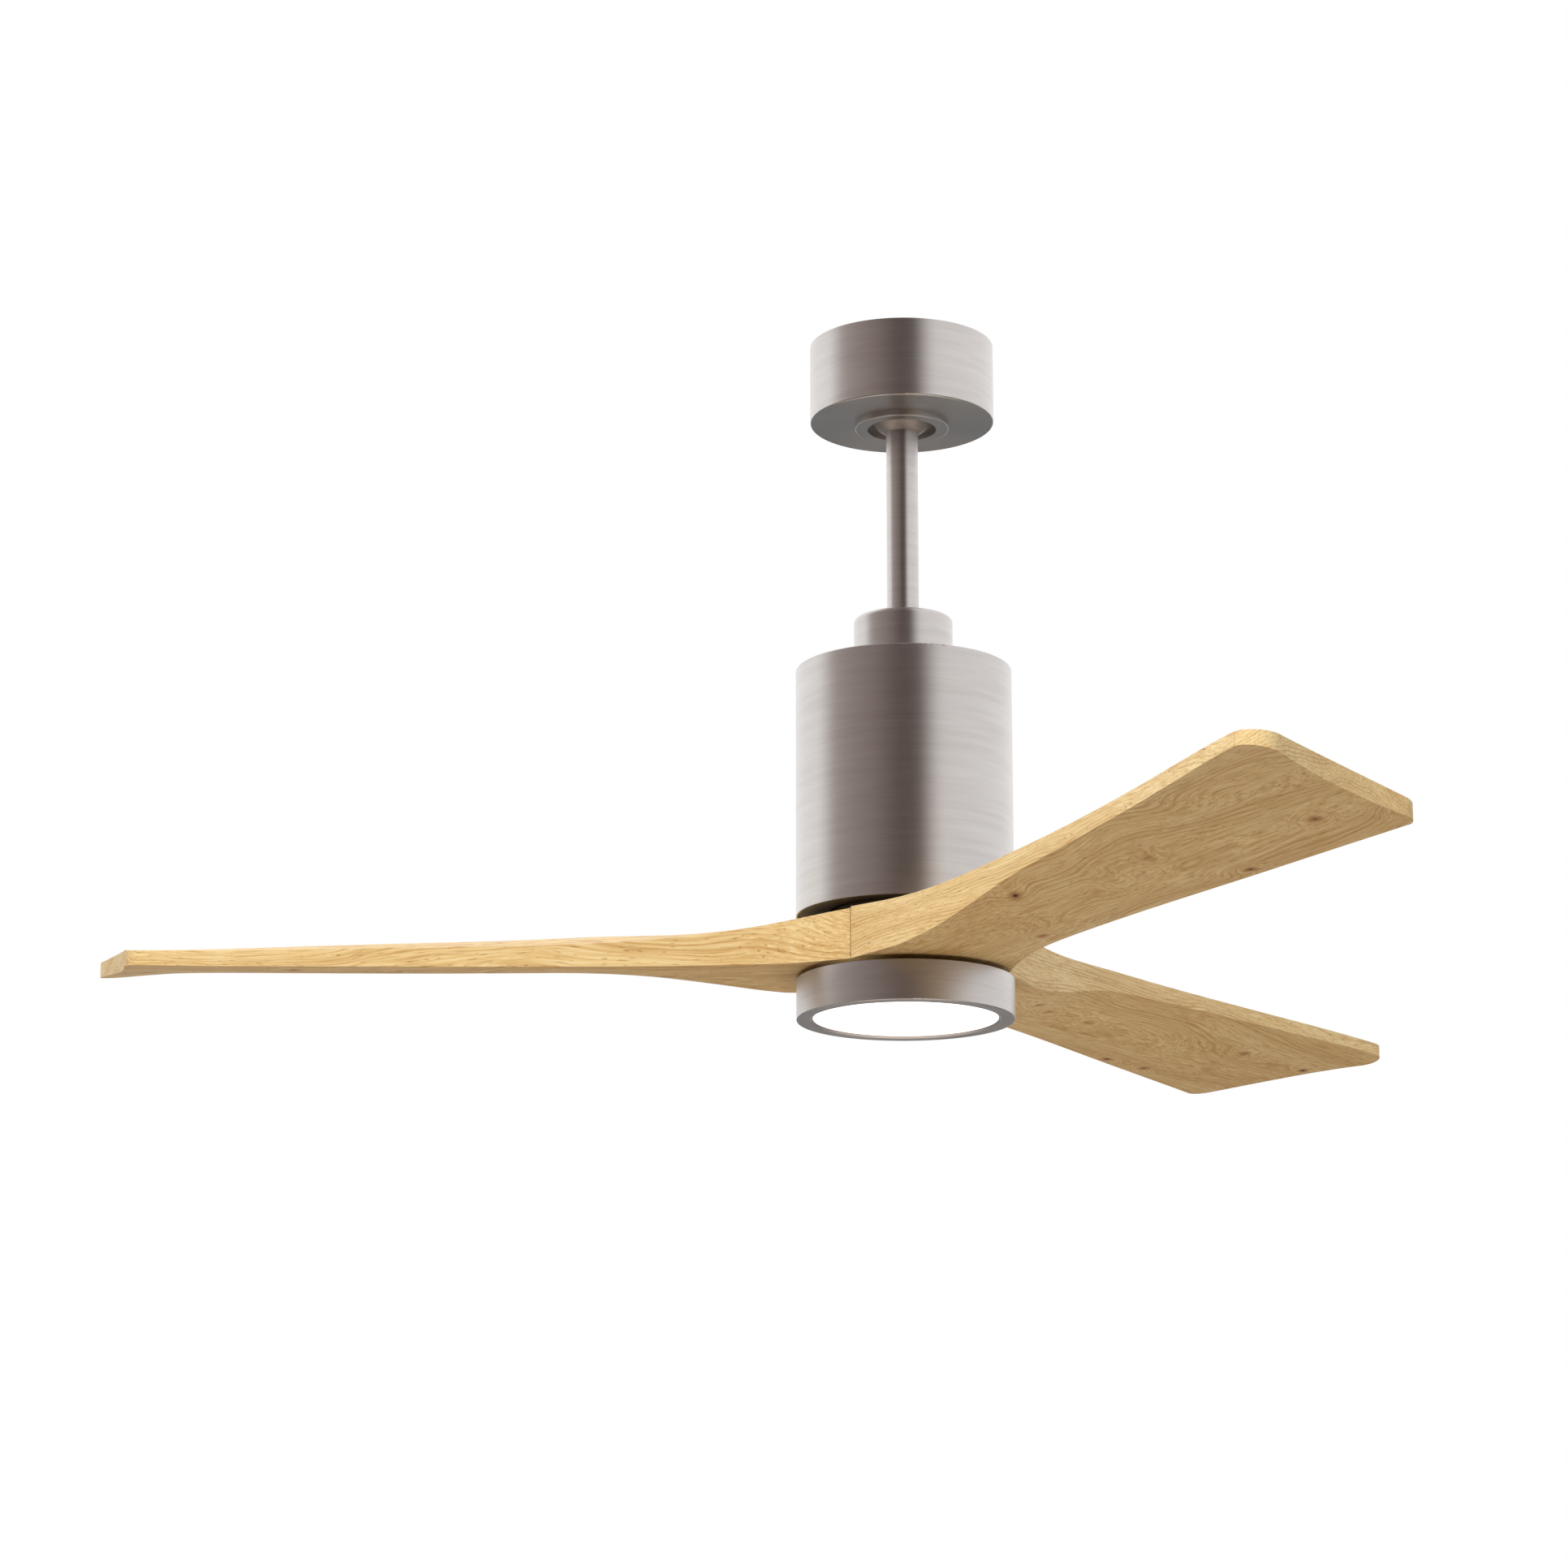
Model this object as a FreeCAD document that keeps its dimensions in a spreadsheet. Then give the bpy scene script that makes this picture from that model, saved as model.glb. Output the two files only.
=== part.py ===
"""Ceiling fan with light: carved wood blades under a slim drum motor housing, on a down rod.

Millimetres, +Z up. The origin is on the ceiling, on the fan's own axis. Every height
below is counted down from the ceiling, so heights are negative.
"""
import FreeCAD, Part
import math
import os
import Sketcher

# Driving sizes in millimetres (counts and angles are plain numbers).
SIZES = {
    # ceiling end
    "canopy_radius": 73.6, "canopy_height": 64, "canopy_wall": 1.5, "canopy_hole": 30,
    "trim_outer": 37.5, "trim_inner": 27.5, "trim_proud": 5, "trim_wall": 1.5,
    "bracket_length": 112, "bracket_width": 34, "bracket_plate": 2.5, "bracket_leg": 3,
    "wire_hole": 8, "box_screw_spacing": 88.9, "box_screw_hole": 2.4, "seat_wall": 7,
    "seat_slot": 30, "seat_height": 15.5, "ball_radius": 31, "ball_depth": 44, "ball_boss": 20,
    "ball_boss_height": 14, "ground_screw_offset": 16, "ground_screw_side": 10,
    "small_screw": 1.5, "seat_screw_depth": 9, "gap_below_tip": 2,
    # control boxes standing in the canopy
    "receiver_length": 60, "receiver_width": 18, "receiver_height": 22, "receiver_offset": 51,
    "terminal_length": 30, "terminal_width": 14, "terminal_height": 12, "terminal_pitch": 9,
    "terminal_offset": 51,
    # down rod and coupling
    "rod_radius": 12.7, "rod_bore": 10.2, "rod_top_depth": 20, "pin_radius": 2.5, "pin_head": 1.5,
    "drop": 227.4,
    "collar_radius": 39.2, "collar_height": 43, "collar_wall": 1.3, "collar_round": 4,
    "yoke_wall": 7.25, "yoke_flange": 34, "yoke_flange_height": 4, "yoke_bolt_circle": 28,
    "yoke_bolt": 2, "shaft_seat": 12, "yoke_web": 3, "yoke_headroom": 3,
    # motor housing and motor
    "housing_radius": 85.4, "housing_height": 199, "housing_wall": 1.2, "cover_hole": 60,
    "cover_recess": 2.5, "cover_sheet": 1.5, "cover_flange": 8, "mount_plate_height": 5,
    "mount_boss": 18, "shaft_radius": 11, "shaft_bore": 7.5, "board_margin": 18.2,
    "board_height": 1.6, "board_depth": 26, "rotor_depth": 48, "rotor_margin": 2.2,
    "rotor_flange": 6, "rotor_wall": 4, "rotor_length": 106, "bearing_radius": 22,
    "bearing_width": 12, "bearing_lip": 4, "hub_disc": 6, "air_gap": 1.5, "stator_height": 45,
    "tooth_width": 8, "tooth_depth": 27, "tooth_tip": 6.5, "slot_mouth": 1.5, "coil_thick": 3.4,
    "coil_overhang": 6, "teeth": 12, "magnets": 16, "magnet_height": 55, "magnet_thick": 6,
    "magnet_space": 2, "bearing_ball_count": 9, "hub_flange": 56, "hub_flange_height": 8,
    "hub_drum": 38, "cable_radius": 2, "cable_offset": 4.9, "cable_reach": 22,
    "cable_top": 6,
    # blades
    "blade_gap": 4.7, "plank": 42, "blade_angle": 3.4, "hub_hole": 24, "screw_circle": 45,
    "blade_screw": 3, "clamp_radius": 56, "clamp_height": 2.5, "tip_lead": 670,
    "tip_trail": 602, "tip_hollow": 10.5, "tip_corner": 16, "corner_lead_in": 0.5, "seam": 0.8,
    # light
    "light_gap": 4, "light_radius": 85.1, "light_height": 31.5, "light_wall": 1.6,
    "lens_margin": 12.9, "lens_height": 3, "lens_inset": 1.6, "lens_rim": 5, "lens_rim_height": 1,
    "light_bevel": 2.4, "adapter_radius": 50, "adapter_height": 3, "adapter_space": 5,
    "pan_sheet": 1.5, "pan_clearance": 8, "nut_height": 6, "nut_width": 29.4, "led_margin": 15.1,
    "led_space": 7, "leds": 24, "led_size": 5, "driver_length": 44, "driver_width": 32,
    "driver_offset": 42,
    # shared clearances: running fit, screw hole over its screw, soft gap, cut past a face
    "slip": 0.05, "hole_slack": 0.2, "gap": 0.3, "past": 1,
}

# Blade sections from the fan's axis outward: distance out, width ahead of and behind the blade's
# line, wood taken off the plank above and below its leading edge, above and below its trailing
# edge (less than nothing stands past the plank), and how far the under and upper faces bow.
BLADE_SECTIONS = (
    (0, 74, 74, 2, -3, 2, -3, 3, 8),
    (50, 67.5, 65, 2, -2, 3.5, -2, 3, 8),
    (105, 59.5, 49, 5.5, 0.5, 10.5, 0.5, 4, 5.5),
    (165, 51, 43.5, 4.5, 9, 17.5, 1, 5.5, 4.5),
    (230, 46, 44.5, 1, 22, 22.5, 1, 7, 4),
    (310, 49, 48.5, 0, 27.5, 25, 1, 8, 2),
    (400, 57.5, 55, 0, 29.5, 26.5, 1, 8, 2),
    (490, 70.5, 60.5, 1, 29.5, 28, 1, 6, 2.5),
    (580, 87.5, 67.5, 3.5, 28, 29, 1.5, 3, 3),
    (670, 102, 75, 7.5, 24.5, 28.5, 3.5, 0.8, 2.5),
    (760, 114, 82, 12, 20, 27, 7, 0.5, 2.5),
)
SECTION_WORDS = ("out", "lead", "trail", "leadtop", "leadlow", "trailtop", "traillow",
                 "underbow", "overbow")
BLADE_COUNT = 3
SCREWS_PER_BLADE = 3


class Length:
    """A number that also carries the sheet formula it came from."""

    def __init__(self, value, formula):
        self.value = float(value)
        self.formula = formula

    def __add__(self, other):
        other = length(other)
        return Length(self.value + other.value, f"({self.formula} + {other.formula})")

    def __sub__(self, other):
        other = length(other)
        return Length(self.value - other.value, f"({self.formula} - {other.formula})")

    def __mul__(self, other):
        other = length(other)
        return Length(self.value * other.value, f"({self.formula} * {other.formula})")

    def __truediv__(self, other):
        other = length(other)
        return Length(self.value / other.value, f"({self.formula} / {other.formula})")

    def __radd__(self, other):
        return length(other) + self

    def __rsub__(self, other):
        return length(other) - self

    def __rmul__(self, other):
        return length(other) * self

    def __neg__(self):
        return Length(-self.value, f"(-{self.formula})")


def length(item):
    """A plain number as a Length; a Length as it is."""
    if isinstance(item, Length):
        return item
    text = repr(float(item))
    return Length(item, f"({text})" if item < 0 else text)


class Sheet:
    """The document's spreadsheet, read back as Lengths."""

    def __init__(self, document, sizes):
        self.cells = document.addObject("Spreadsheet::Sheet", "Sizes")
        for row, (name, value) in enumerate(sizes.items(), start=1):
            self.cells.set(f"A{row}", name)
            self.cells.set(f"B{row}", str(value))
            self.cells.setAlias(f"B{row}", name)
        document.recompute()

    def __getattr__(self, name):
        return Length(getattr(self.cells, name), f"Sizes.{name}")


def all_sizes():
    """Driving sizes with the blade sections spelled out one cell each."""
    sizes = dict(SIZES)
    for index, section in enumerate(BLADE_SECTIONS):
        for word, value in zip(SECTION_WORDS, section):
            sizes[f"section_{index}_{word}"] = value
    return sizes


doc = FreeCAD.newDocument("CeilingFan")
s = Sheet(doc, all_sizes())

# Heights of the main levels and the radii that several pieces share.
canopy_bottom = -s.canopy_height
canopy_floor = canopy_bottom + s.canopy_wall
canopy_screw_circle = (s.canopy_hole + s.trim_outer - s.trim_wall) / 2
ball_centre = -s.ball_depth
ball_pin_height = ball_centre + s.ball_boss_height / 2
seat_outer = s.ball_radius + s.seat_wall
ground_screw_x = s.ground_screw_offset - s.box_screw_spacing / 2
collar_top = -s.drop
housing_top = collar_top - s.collar_height
housing_roof = housing_top - s.housing_wall
housing_bottom = housing_top - s.housing_height
housing_inner = s.housing_radius - s.housing_wall
yoke_radius = s.rod_radius + s.slip + s.yoke_wall
yoke_base = housing_top + s.shaft_seat
web_top = yoke_base + s.yoke_web
yoke_top = collar_top - s.yoke_headroom
yoke_pin_height = web_top + s.pin_radius * 3.2
set_screw_height = yoke_pin_height + s.pin_radius * 3.6
mount_bottom = housing_roof - s.mount_plate_height
board_radius = housing_inner - s.board_margin
board_top = mount_bottom - s.board_depth + s.mount_plate_height
board_post_circle = board_radius - 8
cable_exit = mount_bottom - 10
rotor_top = housing_top - s.rotor_depth
rotor_bottom = rotor_top - s.rotor_length
rotor_edge = housing_inner - s.rotor_margin
rotor_radius = rotor_edge - s.rotor_flange
rotor_inner = rotor_radius - s.rotor_wall
rotor_screw_circle = rotor_radius + s.rotor_flange / 2
stator_radius = rotor_inner - s.magnet_thick - s.air_gap
stator_middle = rotor_top - s.rotor_length / 2
bearing_floor = rotor_bottom - 4 - s.bearing_width
plank_top = housing_bottom - s.blade_gap
plank_bottom = plank_top - s.plank
hub_turn = 180 / BLADE_COUNT / SCREWS_PER_BLADE - s.blade_angle.value
clamp_bottom = plank_bottom - s.clamp_height
light_top = plank_bottom - s.light_gap
light_bottom = light_top - s.light_height
light_inner = s.light_radius - s.light_wall
lens_radius = s.light_radius - s.lens_margin
adapter_top = clamp_bottom - s.adapter_space
adapter_bottom = adapter_top - s.adapter_height
adapter_screw_circle = s.adapter_radius - 8
pan_roof = adapter_bottom - s.pan_sheet
pan_step = s.clamp_radius + s.pan_clearance
nut_bottom = pan_roof - s.nut_height
led_board_radius = s.light_radius - s.led_margin
led_post_circle = led_board_radius - 12
led_top = nut_bottom - s.led_space
parts = []


# ---------------------------------------------------------------- sketch and feature helpers

def new_body(label):
    """Empty body, kept for export under its own label."""
    body = doc.addObject("PartDesign::Body", label)
    body.Label = label
    if hasattr(body, "AllowCompound"):
        body.AllowCompound = True
    parts.append(body)
    return body


def origin_item(body, role):
    """One of the body's own base planes or axes."""
    for item in body.Origin.OriginFeatures:
        if item.Role == role:
            return item
    raise ValueError(role)


def new_sketch(body, plane, offset=None):
    """Sketch on one of the body's base planes, moved along its normal by offset."""
    sketch = body.newObject("Sketcher::SketchObject", f"{body.Name}_sketch")
    sketch.AttachmentSupport = [(origin_item(body, plane), "")]
    sketch.MapMode = "FlatFace"
    if offset is not None:
        sketch.AttachmentOffset = FreeCAD.Placement(FreeCAD.Vector(0, 0, length(offset).value),
                                                    FreeCAD.Rotation())
        sketch.setExpression("AttachmentOffset.Base.z", length(offset).formula)
    return sketch


def pin_point(sketch, geometry, end, x, y):
    """Fix one sketch point by its two distances from the origin."""
    for kind, size in (("DistanceX", length(x)), ("DistanceY", length(y))):
        index = sketch.addConstraint(Sketcher.Constraint(kind, -1, 1, geometry, end, size.value))
        if "Sizes" in size.formula:
            sketch.setExpression(f"Constraints[{index}]", size.formula)


def draw_polygon(sketch, points):
    """Closed outline with straight sides through the given points."""
    corners = [FreeCAD.Vector(length(x).value, length(y).value, 0) for x, y in points]
    count = len(points)
    first = sketch.GeometryCount
    for index in range(count):
        sketch.addGeometry(Part.LineSegment(corners[index], corners[(index + 1) % count]), False)
    for index in range(count):
        following = first + (index + 1) % count
        sketch.addConstraint(Sketcher.Constraint("Coincident", first + index, 2, following, 1))
    for index, (x, y) in enumerate(points):
        pin_point(sketch, first + index, 1, x, y)


def draw_circle(sketch, x, y, radius):
    """Circle with its middle and radius tied to the sheet."""
    radius = length(radius)
    middle = FreeCAD.Vector(length(x).value, length(y).value, 0)
    shape = Part.Circle(middle, FreeCAD.Vector(0, 0, 1), radius.value)
    circle = sketch.addGeometry(shape, False)
    index = sketch.addConstraint(Sketcher.Constraint("Radius", circle, radius.value))
    sketch.setExpression(f"Constraints[{index}]", radius.formula)
    pin_point(sketch, circle, 3, x, y)


def rectangle(left, right, low, high):
    """Corners of an upright rectangle."""
    return ((left, low), (right, low), (right, high), (left, high))


def feature(body, kind, sketch, **settings):
    """Sketch-based feature; Length settings are bound to the sheet."""
    item = body.newObject(f"PartDesign::{kind}", f"{body.Name}_{kind.lower()}")
    item.Profile = (sketch, [""])
    for name, value in settings.items():
        if isinstance(value, Length):
            setattr(item, name, value.value)
            item.setExpression(name, value.formula)
        else:
            setattr(item, name, value)
    sketch.Visibility = False
    return item


def turn(body, points, kind="Revolution", angle=360):
    """Turn an outline of (radius, height) points about the body's Z axis."""
    sketch = new_sketch(body, "XZ_Plane")
    draw_polygon(sketch, points)
    return feature(body, kind, sketch, ReferenceAxis=(sketch, ["V_Axis"]), Angle=angle)


def pad(body, draw, low, high):
    """Raise a drawn outline from one height to another."""
    sketch = new_sketch(body, "XY_Plane", low)
    draw(sketch)
    return feature(body, "Pad", sketch, Length=length(high) - low)


def pocket(body, draw, low, high, plane="XY_Plane"):
    """Cut a drawn outline away between two distances along the plane's normal."""
    sketch = new_sketch(body, plane, high)
    draw(sketch)
    return feature(body, "Pocket", sketch, Length=length(high) - low)


def around(body, features, count):
    """Repeat features evenly about the body's Z axis."""
    pattern = body.newObject("PartDesign::PolarPattern", f"{body.Name}_pattern")
    pattern.Originals = features
    pattern.Axis = (origin_item(body, "Z_Axis"), [""])
    pattern.Angle = 360
    pattern.Occurrences = int(count)
    body.Tip = pattern
    return pattern


def solid_of_turning(body, kind, sizes, height, out=0):
    """Ball or ring primitive with its middle at a given height and distance from the Z axis."""
    item = body.newObject(f"PartDesign::{kind}", f"{body.Name}_{kind.lower()}")
    for name, size in sizes.items():
        setattr(item, name, length(size).value)
        item.setExpression(name, length(size).formula)
    item.AttachmentSupport = [(origin_item(body, "XY_Plane"), "")]
    item.MapMode = "FlatFace"
    spot = FreeCAD.Vector(length(out).value, 0, length(height).value)
    item.AttachmentOffset = FreeCAD.Placement(spot, FreeCAD.Rotation())
    item.setExpression("AttachmentOffset.Base.x", length(out).formula)
    item.setExpression("AttachmentOffset.Base.z", length(height).formula)
    return item


def round_edges(body, choose, radius, kind="Fillet"):
    """Fillet or chamfer the edges of the body's last feature that the test picks out."""
    doc.recompute()
    base = body.Tip
    names = [f"Edge{index + 1}" for index, edge in enumerate(base.Shape.Edges) if choose(edge)]
    item = body.newObject(f"PartDesign::{kind}", f"{body.Name}_{kind.lower()}")
    item.Base = (base, names)
    setting = "Radius" if kind == "Fillet" else "Size"
    setattr(item, setting, length(radius).value)
    item.setExpression(setting, length(radius).formula)
    return item


def on_circle(radius, height):
    """Test for a circular edge of one radius at one height about the Z axis."""
    def test(edge):
        curve = edge.Curve
        if not isinstance(curve, Part.Circle):
            return False
        close = abs(curve.Radius - length(radius).value) < 0.01
        return close and abs(curve.Center.z - length(height).value) < 0.01
    return test


def place(body, height=0, turn_angle=0, axis=(0, 0, 1), x=0, y=0):
    """Set a body down in the fan: heights and offsets stay tied to the sheet."""
    rotation = FreeCAD.Rotation(FreeCAD.Vector(*axis), turn_angle)
    spot = [length(item) for item in (x, y, height)]
    body.Placement = FreeCAD.Placement(FreeCAD.Vector(*[item.value for item in spot]), rotation)
    for letter, item in zip("xyz", spot):
        if "Sizes" in item.formula:
            body.setExpression(f"Placement.Base.{letter}", item.formula)
    return body


def washer(label, inner, outer, thick, height):
    """Flat ring whose underside is at the given height."""
    body = new_body(label)
    turn(body, rectangle(inner, outer, 0, thick))
    return place(body, height)


def box(label, x_range, y_range, z_range):
    """Plain block between pairs of limits."""
    body = new_body(label)
    low, high = z_range
    pad(body, lambda k: draw_polygon(k, rectangle(*x_range, *y_range)), 0, length(high) - low)
    return place(body, low)


def ring_of_holes(body, circle, radius, count, low, high):
    """Equal upright holes evenly spaced on a circle."""
    hole = pocket(body, lambda k: draw_circle(k, circle, 0, radius), low, high)
    return around(body, [hole], count)


def screws(label, circle, count, head, shank, height, head_up=False, start=0, drive=1.6):
    """Group of equal screws on a circle; head and shank are (radius, length) pairs.

    The height is where the heads' seats lie, and the shanks run away from the heads.
    """
    body = new_body(label)
    head_radius, head_length = head
    shank_radius, shank_length = shank
    cap = pad(body, lambda k: draw_circle(k, circle, 0, head_radius), -head_length, 0)
    stem = pad(body, lambda k: draw_circle(k, circle, 0, shank_radius), 0, shank_length)
    slot = pocket(body, lambda k: draw_circle(k, circle, 0, drive),
                  -head_length, -head_length * 0.4)
    around(body, [cap, stem, slot], count)
    if head_up:
        return place(body, height, 180, (1, 0, 0))
    return place(body, height, start)


def upright_edge(edge):
    """Test for an edge whose two ends lie on one line along Z."""
    if len(edge.Vertexes) < 2:
        return False
    step = edge.Vertexes[0].Point - edge.Vertexes[1].Point
    return math.hypot(step.x, step.y) < 1e-4 < abs(step.z)


# ---------------------------------------------------------------- ceiling end

def make_hanger_bracket():
    """Cast bracket: slotted top plate, two legs and the open-sided cup the ball sits in."""
    body = new_body("hanger_bracket")
    floor = canopy_floor
    seat_top = canopy_floor + s.seat_height
    half_width = s.bracket_width / 2
    turn(body, rectangle(s.trim_inner - 4, seat_outer, floor, seat_top))
    for side in (-1, 1):
        leg = rectangle(side * (seat_outer - s.bracket_leg), side * seat_outer,
                        -half_width, half_width)
        pad(body, lambda k: draw_polygon(k, leg), floor, 0)
    half_length = s.bracket_length / 2
    plate = rectangle(-half_length, half_length, -half_width, half_width)
    pad(body, lambda k: draw_polygon(k, plate), -s.bracket_plate, 0)
    solid_of_turning(body, "SubtractiveSphere", {"Radius": s.ball_radius}, ball_centre)
    half_slot = s.seat_slot / 2
    mouth = rectangle(-half_slot, half_slot, 0, seat_outer + s.past)
    pocket(body, lambda k: draw_polygon(k, mouth), floor - s.past, seat_top + s.past)

    def plate_holes(sketch):
        for side in (-1, 1):
            draw_circle(sketch, side * s.box_screw_spacing / 2, 0, s.box_screw_hole)
        draw_circle(sketch, 0, 0, s.wire_hole)
        draw_circle(sketch, ground_screw_x, s.ground_screw_side, s.small_screw)
    pocket(body, plate_holes, -s.bracket_plate - s.past, s.past)
    ring_of_holes(body, canopy_screw_circle, s.small_screw, 2, floor - s.past,
                  floor + s.seat_screw_depth)
    return place(body)


def make_canopy():
    """Spun metal canopy: a plain cup with a flat floor and a round hole for the ball."""
    body = new_body("canopy")
    inner = s.canopy_radius - s.canopy_wall
    turn(body, ((s.canopy_hole, canopy_bottom), (s.canopy_radius, canopy_bottom),
                (s.canopy_radius, 0), (inner, 0), (inner, canopy_floor),
                (s.canopy_hole, canopy_floor)))
    ring_of_holes(body, canopy_screw_circle, s.small_screw + s.hole_slack, 2, canopy_bottom - s.past,
                  canopy_floor + s.past)
    round_edges(body, on_circle(s.canopy_radius, canopy_bottom), s.canopy_wall * 0.8)
    return place(body)


def make_canopy_ring():
    """Hollow trim ring under the canopy that hides the canopy screws."""
    body = new_body("canopy_ring")
    low = canopy_bottom - s.trim_proud
    inside = low + s.trim_wall
    neck = s.canopy_hole - s.slip
    turn(body, ((s.trim_inner, low), (s.trim_outer, low), (s.trim_outer, canopy_bottom),
                (s.trim_outer - s.trim_wall, canopy_bottom), (s.trim_outer - s.trim_wall, inside),
                (neck, inside), (neck, canopy_floor), (s.trim_inner, canopy_floor)))
    round_edges(body, on_circle(s.trim_outer, low), s.trim_wall * 0.7)
    return place(body)


def make_canopy_screws():
    """Two screws up through the canopy floor into the bracket."""
    shank = s.canopy_wall + s.seat_screw_depth - s.gap_below_tip
    return screws("canopy_screws", canopy_screw_circle, 2, (2, 2), (s.small_screw, shank),
                  canopy_bottom, drive=0.9)


def make_receiver():
    """Remote-control receiver lying on the canopy floor, with a sunken label field on top."""
    half_length = s.receiver_length / 2
    half_width = s.receiver_width / 2
    near, far = -s.receiver_offset - half_width, half_width - s.receiver_offset
    body = box("receiver_module", (-half_length, half_length), (near, far),
               (canopy_floor, canopy_floor + s.receiver_height))
    margin = 3
    field = rectangle(margin - half_length, half_length - margin, near + margin, far - margin)
    pocket(body, lambda k: draw_polygon(k, field), s.receiver_height - s.past,
           s.receiver_height + s.past)
    round_edges(body, upright_edge, 2)
    return body


def make_terminal_block():
    """Three-way terminal block that joins the house wires."""
    half_length = s.terminal_length / 2
    half_width = s.terminal_width / 2
    body = box("terminal_block", (-half_length, half_length),
               (s.terminal_offset - half_width, s.terminal_offset + half_width),
               (canopy_floor, canopy_floor + s.terminal_height))

    def wells(sketch):
        for step in (-1, 0, 1):
            draw_circle(sketch, step * s.terminal_pitch, s.terminal_offset, 2.5)
    pocket(body, wells, s.terminal_height / 2, s.terminal_height + s.past)
    return body


def make_ground_screw():
    """Earth screw in the bracket's top plate."""
    body = new_body("ground_screw")
    seat = -s.bracket_plate
    for radius, low, high in ((s.small_screw * 2, seat - 2, seat), (s.small_screw, seat, -s.hole_slack)):
        pad(body, lambda k: draw_circle(k, ground_screw_x, s.ground_screw_side, radius), low, high)
    return place(body)


# ---------------------------------------------------------------- hanger and down rod

def make_hanger_ball():
    """Half ball with a boss on top; both are bored for the rod and cross-drilled for its pin."""
    body = new_body("hanger_ball")
    radius = s.ball_radius - s.slip
    solid_of_turning(body, "AdditiveSphere", {"Radius": radius}, 0)
    clear = radius + s.past
    turn(body, rectangle(s.ball_boss, clear, 0, clear), "Groove")
    turn(body, rectangle(0, s.ball_boss + s.past, s.ball_boss_height, clear), "Groove")
    turn(body, rectangle(0, s.rod_radius + s.slip, -clear, clear), "Groove")
    pocket(body, lambda k: draw_circle(k, 0, s.ball_boss_height / 2, s.pin_radius + s.slip),
           -radius, radius, "YZ_Plane")
    return place(body, ball_centre)


def make_ball_pin():
    """Cross pin that carries the rod in the ball."""
    body = new_body("ball_pin")
    reach = s.ball_boss - s.gap
    turn(body, rectangle(0, s.pin_radius, -reach, reach))
    return place(body, ball_pin_height, 90, (0, 1, 0))


def make_downrod():
    """Steel tube with a cross hole near each end."""
    body = new_body("downrod")
    turn(body, rectangle(s.rod_bore, s.rod_radius, web_top, -s.rod_top_depth))
    for height in (ball_pin_height, yoke_pin_height):
        pocket(body, lambda k: draw_circle(k, 0, height, s.pin_radius + s.slip),
               -s.rod_radius - s.past, s.rod_radius + s.past, "YZ_Plane")
    return place(body)


def make_yoke():
    """Motor coupling: socket for the rod above, seat for the shaft below, bolted flange."""
    body = new_body("yoke")
    flange_top = housing_top + s.yoke_flange_height
    socket = s.rod_radius + s.slip
    turn(body, ((s.shaft_radius, housing_top), (s.yoke_flange, housing_top),
                (s.yoke_flange, flange_top), (yoke_radius, flange_top), (yoke_radius, yoke_top),
                (socket, yoke_top), (socket, web_top), (s.shaft_bore, web_top),
                (s.shaft_bore, yoke_base), (s.shaft_radius, yoke_base)))
    through = yoke_radius + s.past
    pocket(body, lambda k: draw_circle(k, 0, yoke_pin_height, s.pin_radius + s.slip),
           -through, through, "YZ_Plane")
    pocket(body, lambda k: draw_circle(k, 0, set_screw_height, s.yoke_bolt),
           -through, through, "XZ_Plane")
    ring_of_holes(body, s.yoke_bolt_circle, s.yoke_bolt, 4, housing_top - s.past,
                  flange_top + s.past)
    return place(body)


def make_yoke_pin():
    """Clevis pin with a flat head and a groove for its retaining ring."""
    body = new_body("yoke_pin")
    tail = -yoke_radius - 3.5
    head_radius = s.pin_radius + s.pin_head
    turn(body, ((0, tail), (s.pin_radius, tail), (s.pin_radius, yoke_radius),
                (head_radius, yoke_radius), (head_radius, yoke_radius + s.pin_head),
                (0, yoke_radius + s.pin_head)))
    groove = rectangle(s.pin_radius - 0.5, head_radius, tail + 1, tail + 2.2)
    turn(body, groove, "Groove")
    return place(body, yoke_pin_height, 90, (0, 1, 0))


def make_pin_clip():
    """Open retaining ring snapped into the clevis pin's groove."""
    body = new_body("pin_clip")
    tail = -yoke_radius - 3.5
    turn(body, rectangle(s.pin_radius - 0.5, s.pin_radius + 1.5, tail + 1, tail + 2.2))
    mouth = rectangle(0, s.pin_radius * 2, -1.2, 1.2)
    pocket(body, lambda k: draw_polygon(k, mouth), tail, tail + 3)
    return place(body, yoke_pin_height, 90, (0, 1, 0))


def make_set_screws():
    """Two grub screws through the yoke's sides against the rod."""
    body = new_body("yoke_set_screws")
    near, far = s.rod_radius, yoke_radius + s.past
    for low, high in ((near, far), (-far, -near)):
        pad(body, lambda k: draw_circle(k, 0, 0, s.yoke_bolt), low, high)
    return place(body, set_screw_height, 90, (1, 0, 0))


def make_yoke_bolts():
    """Four bolts down through the yoke flange and housing roof into the motor mount."""
    reach = s.yoke_flange_height + s.housing_wall + s.mount_plate_height - s.hole_slack
    return screws("yoke_bolts", s.yoke_bolt_circle, 4, (3.5, 3), (s.yoke_bolt, reach),
                  housing_top + s.yoke_flange_height, head_up=True)


def make_collar():
    """Cylindrical cover over the yoke; it slides on the rod and rests on the housing."""
    body = new_body("yoke_cover")
    inner = s.collar_radius - s.collar_wall
    hole = s.rod_radius + s.slip
    turn(body, ((inner, housing_top), (s.collar_radius, housing_top),
                (s.collar_radius, collar_top), (hole, collar_top),
                (hole, collar_top - s.collar_wall), (inner, collar_top - s.collar_wall)))
    round_edges(body, on_circle(s.collar_radius, collar_top), s.collar_round)
    return place(body)


# ---------------------------------------------------------------- housing and motor

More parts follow.
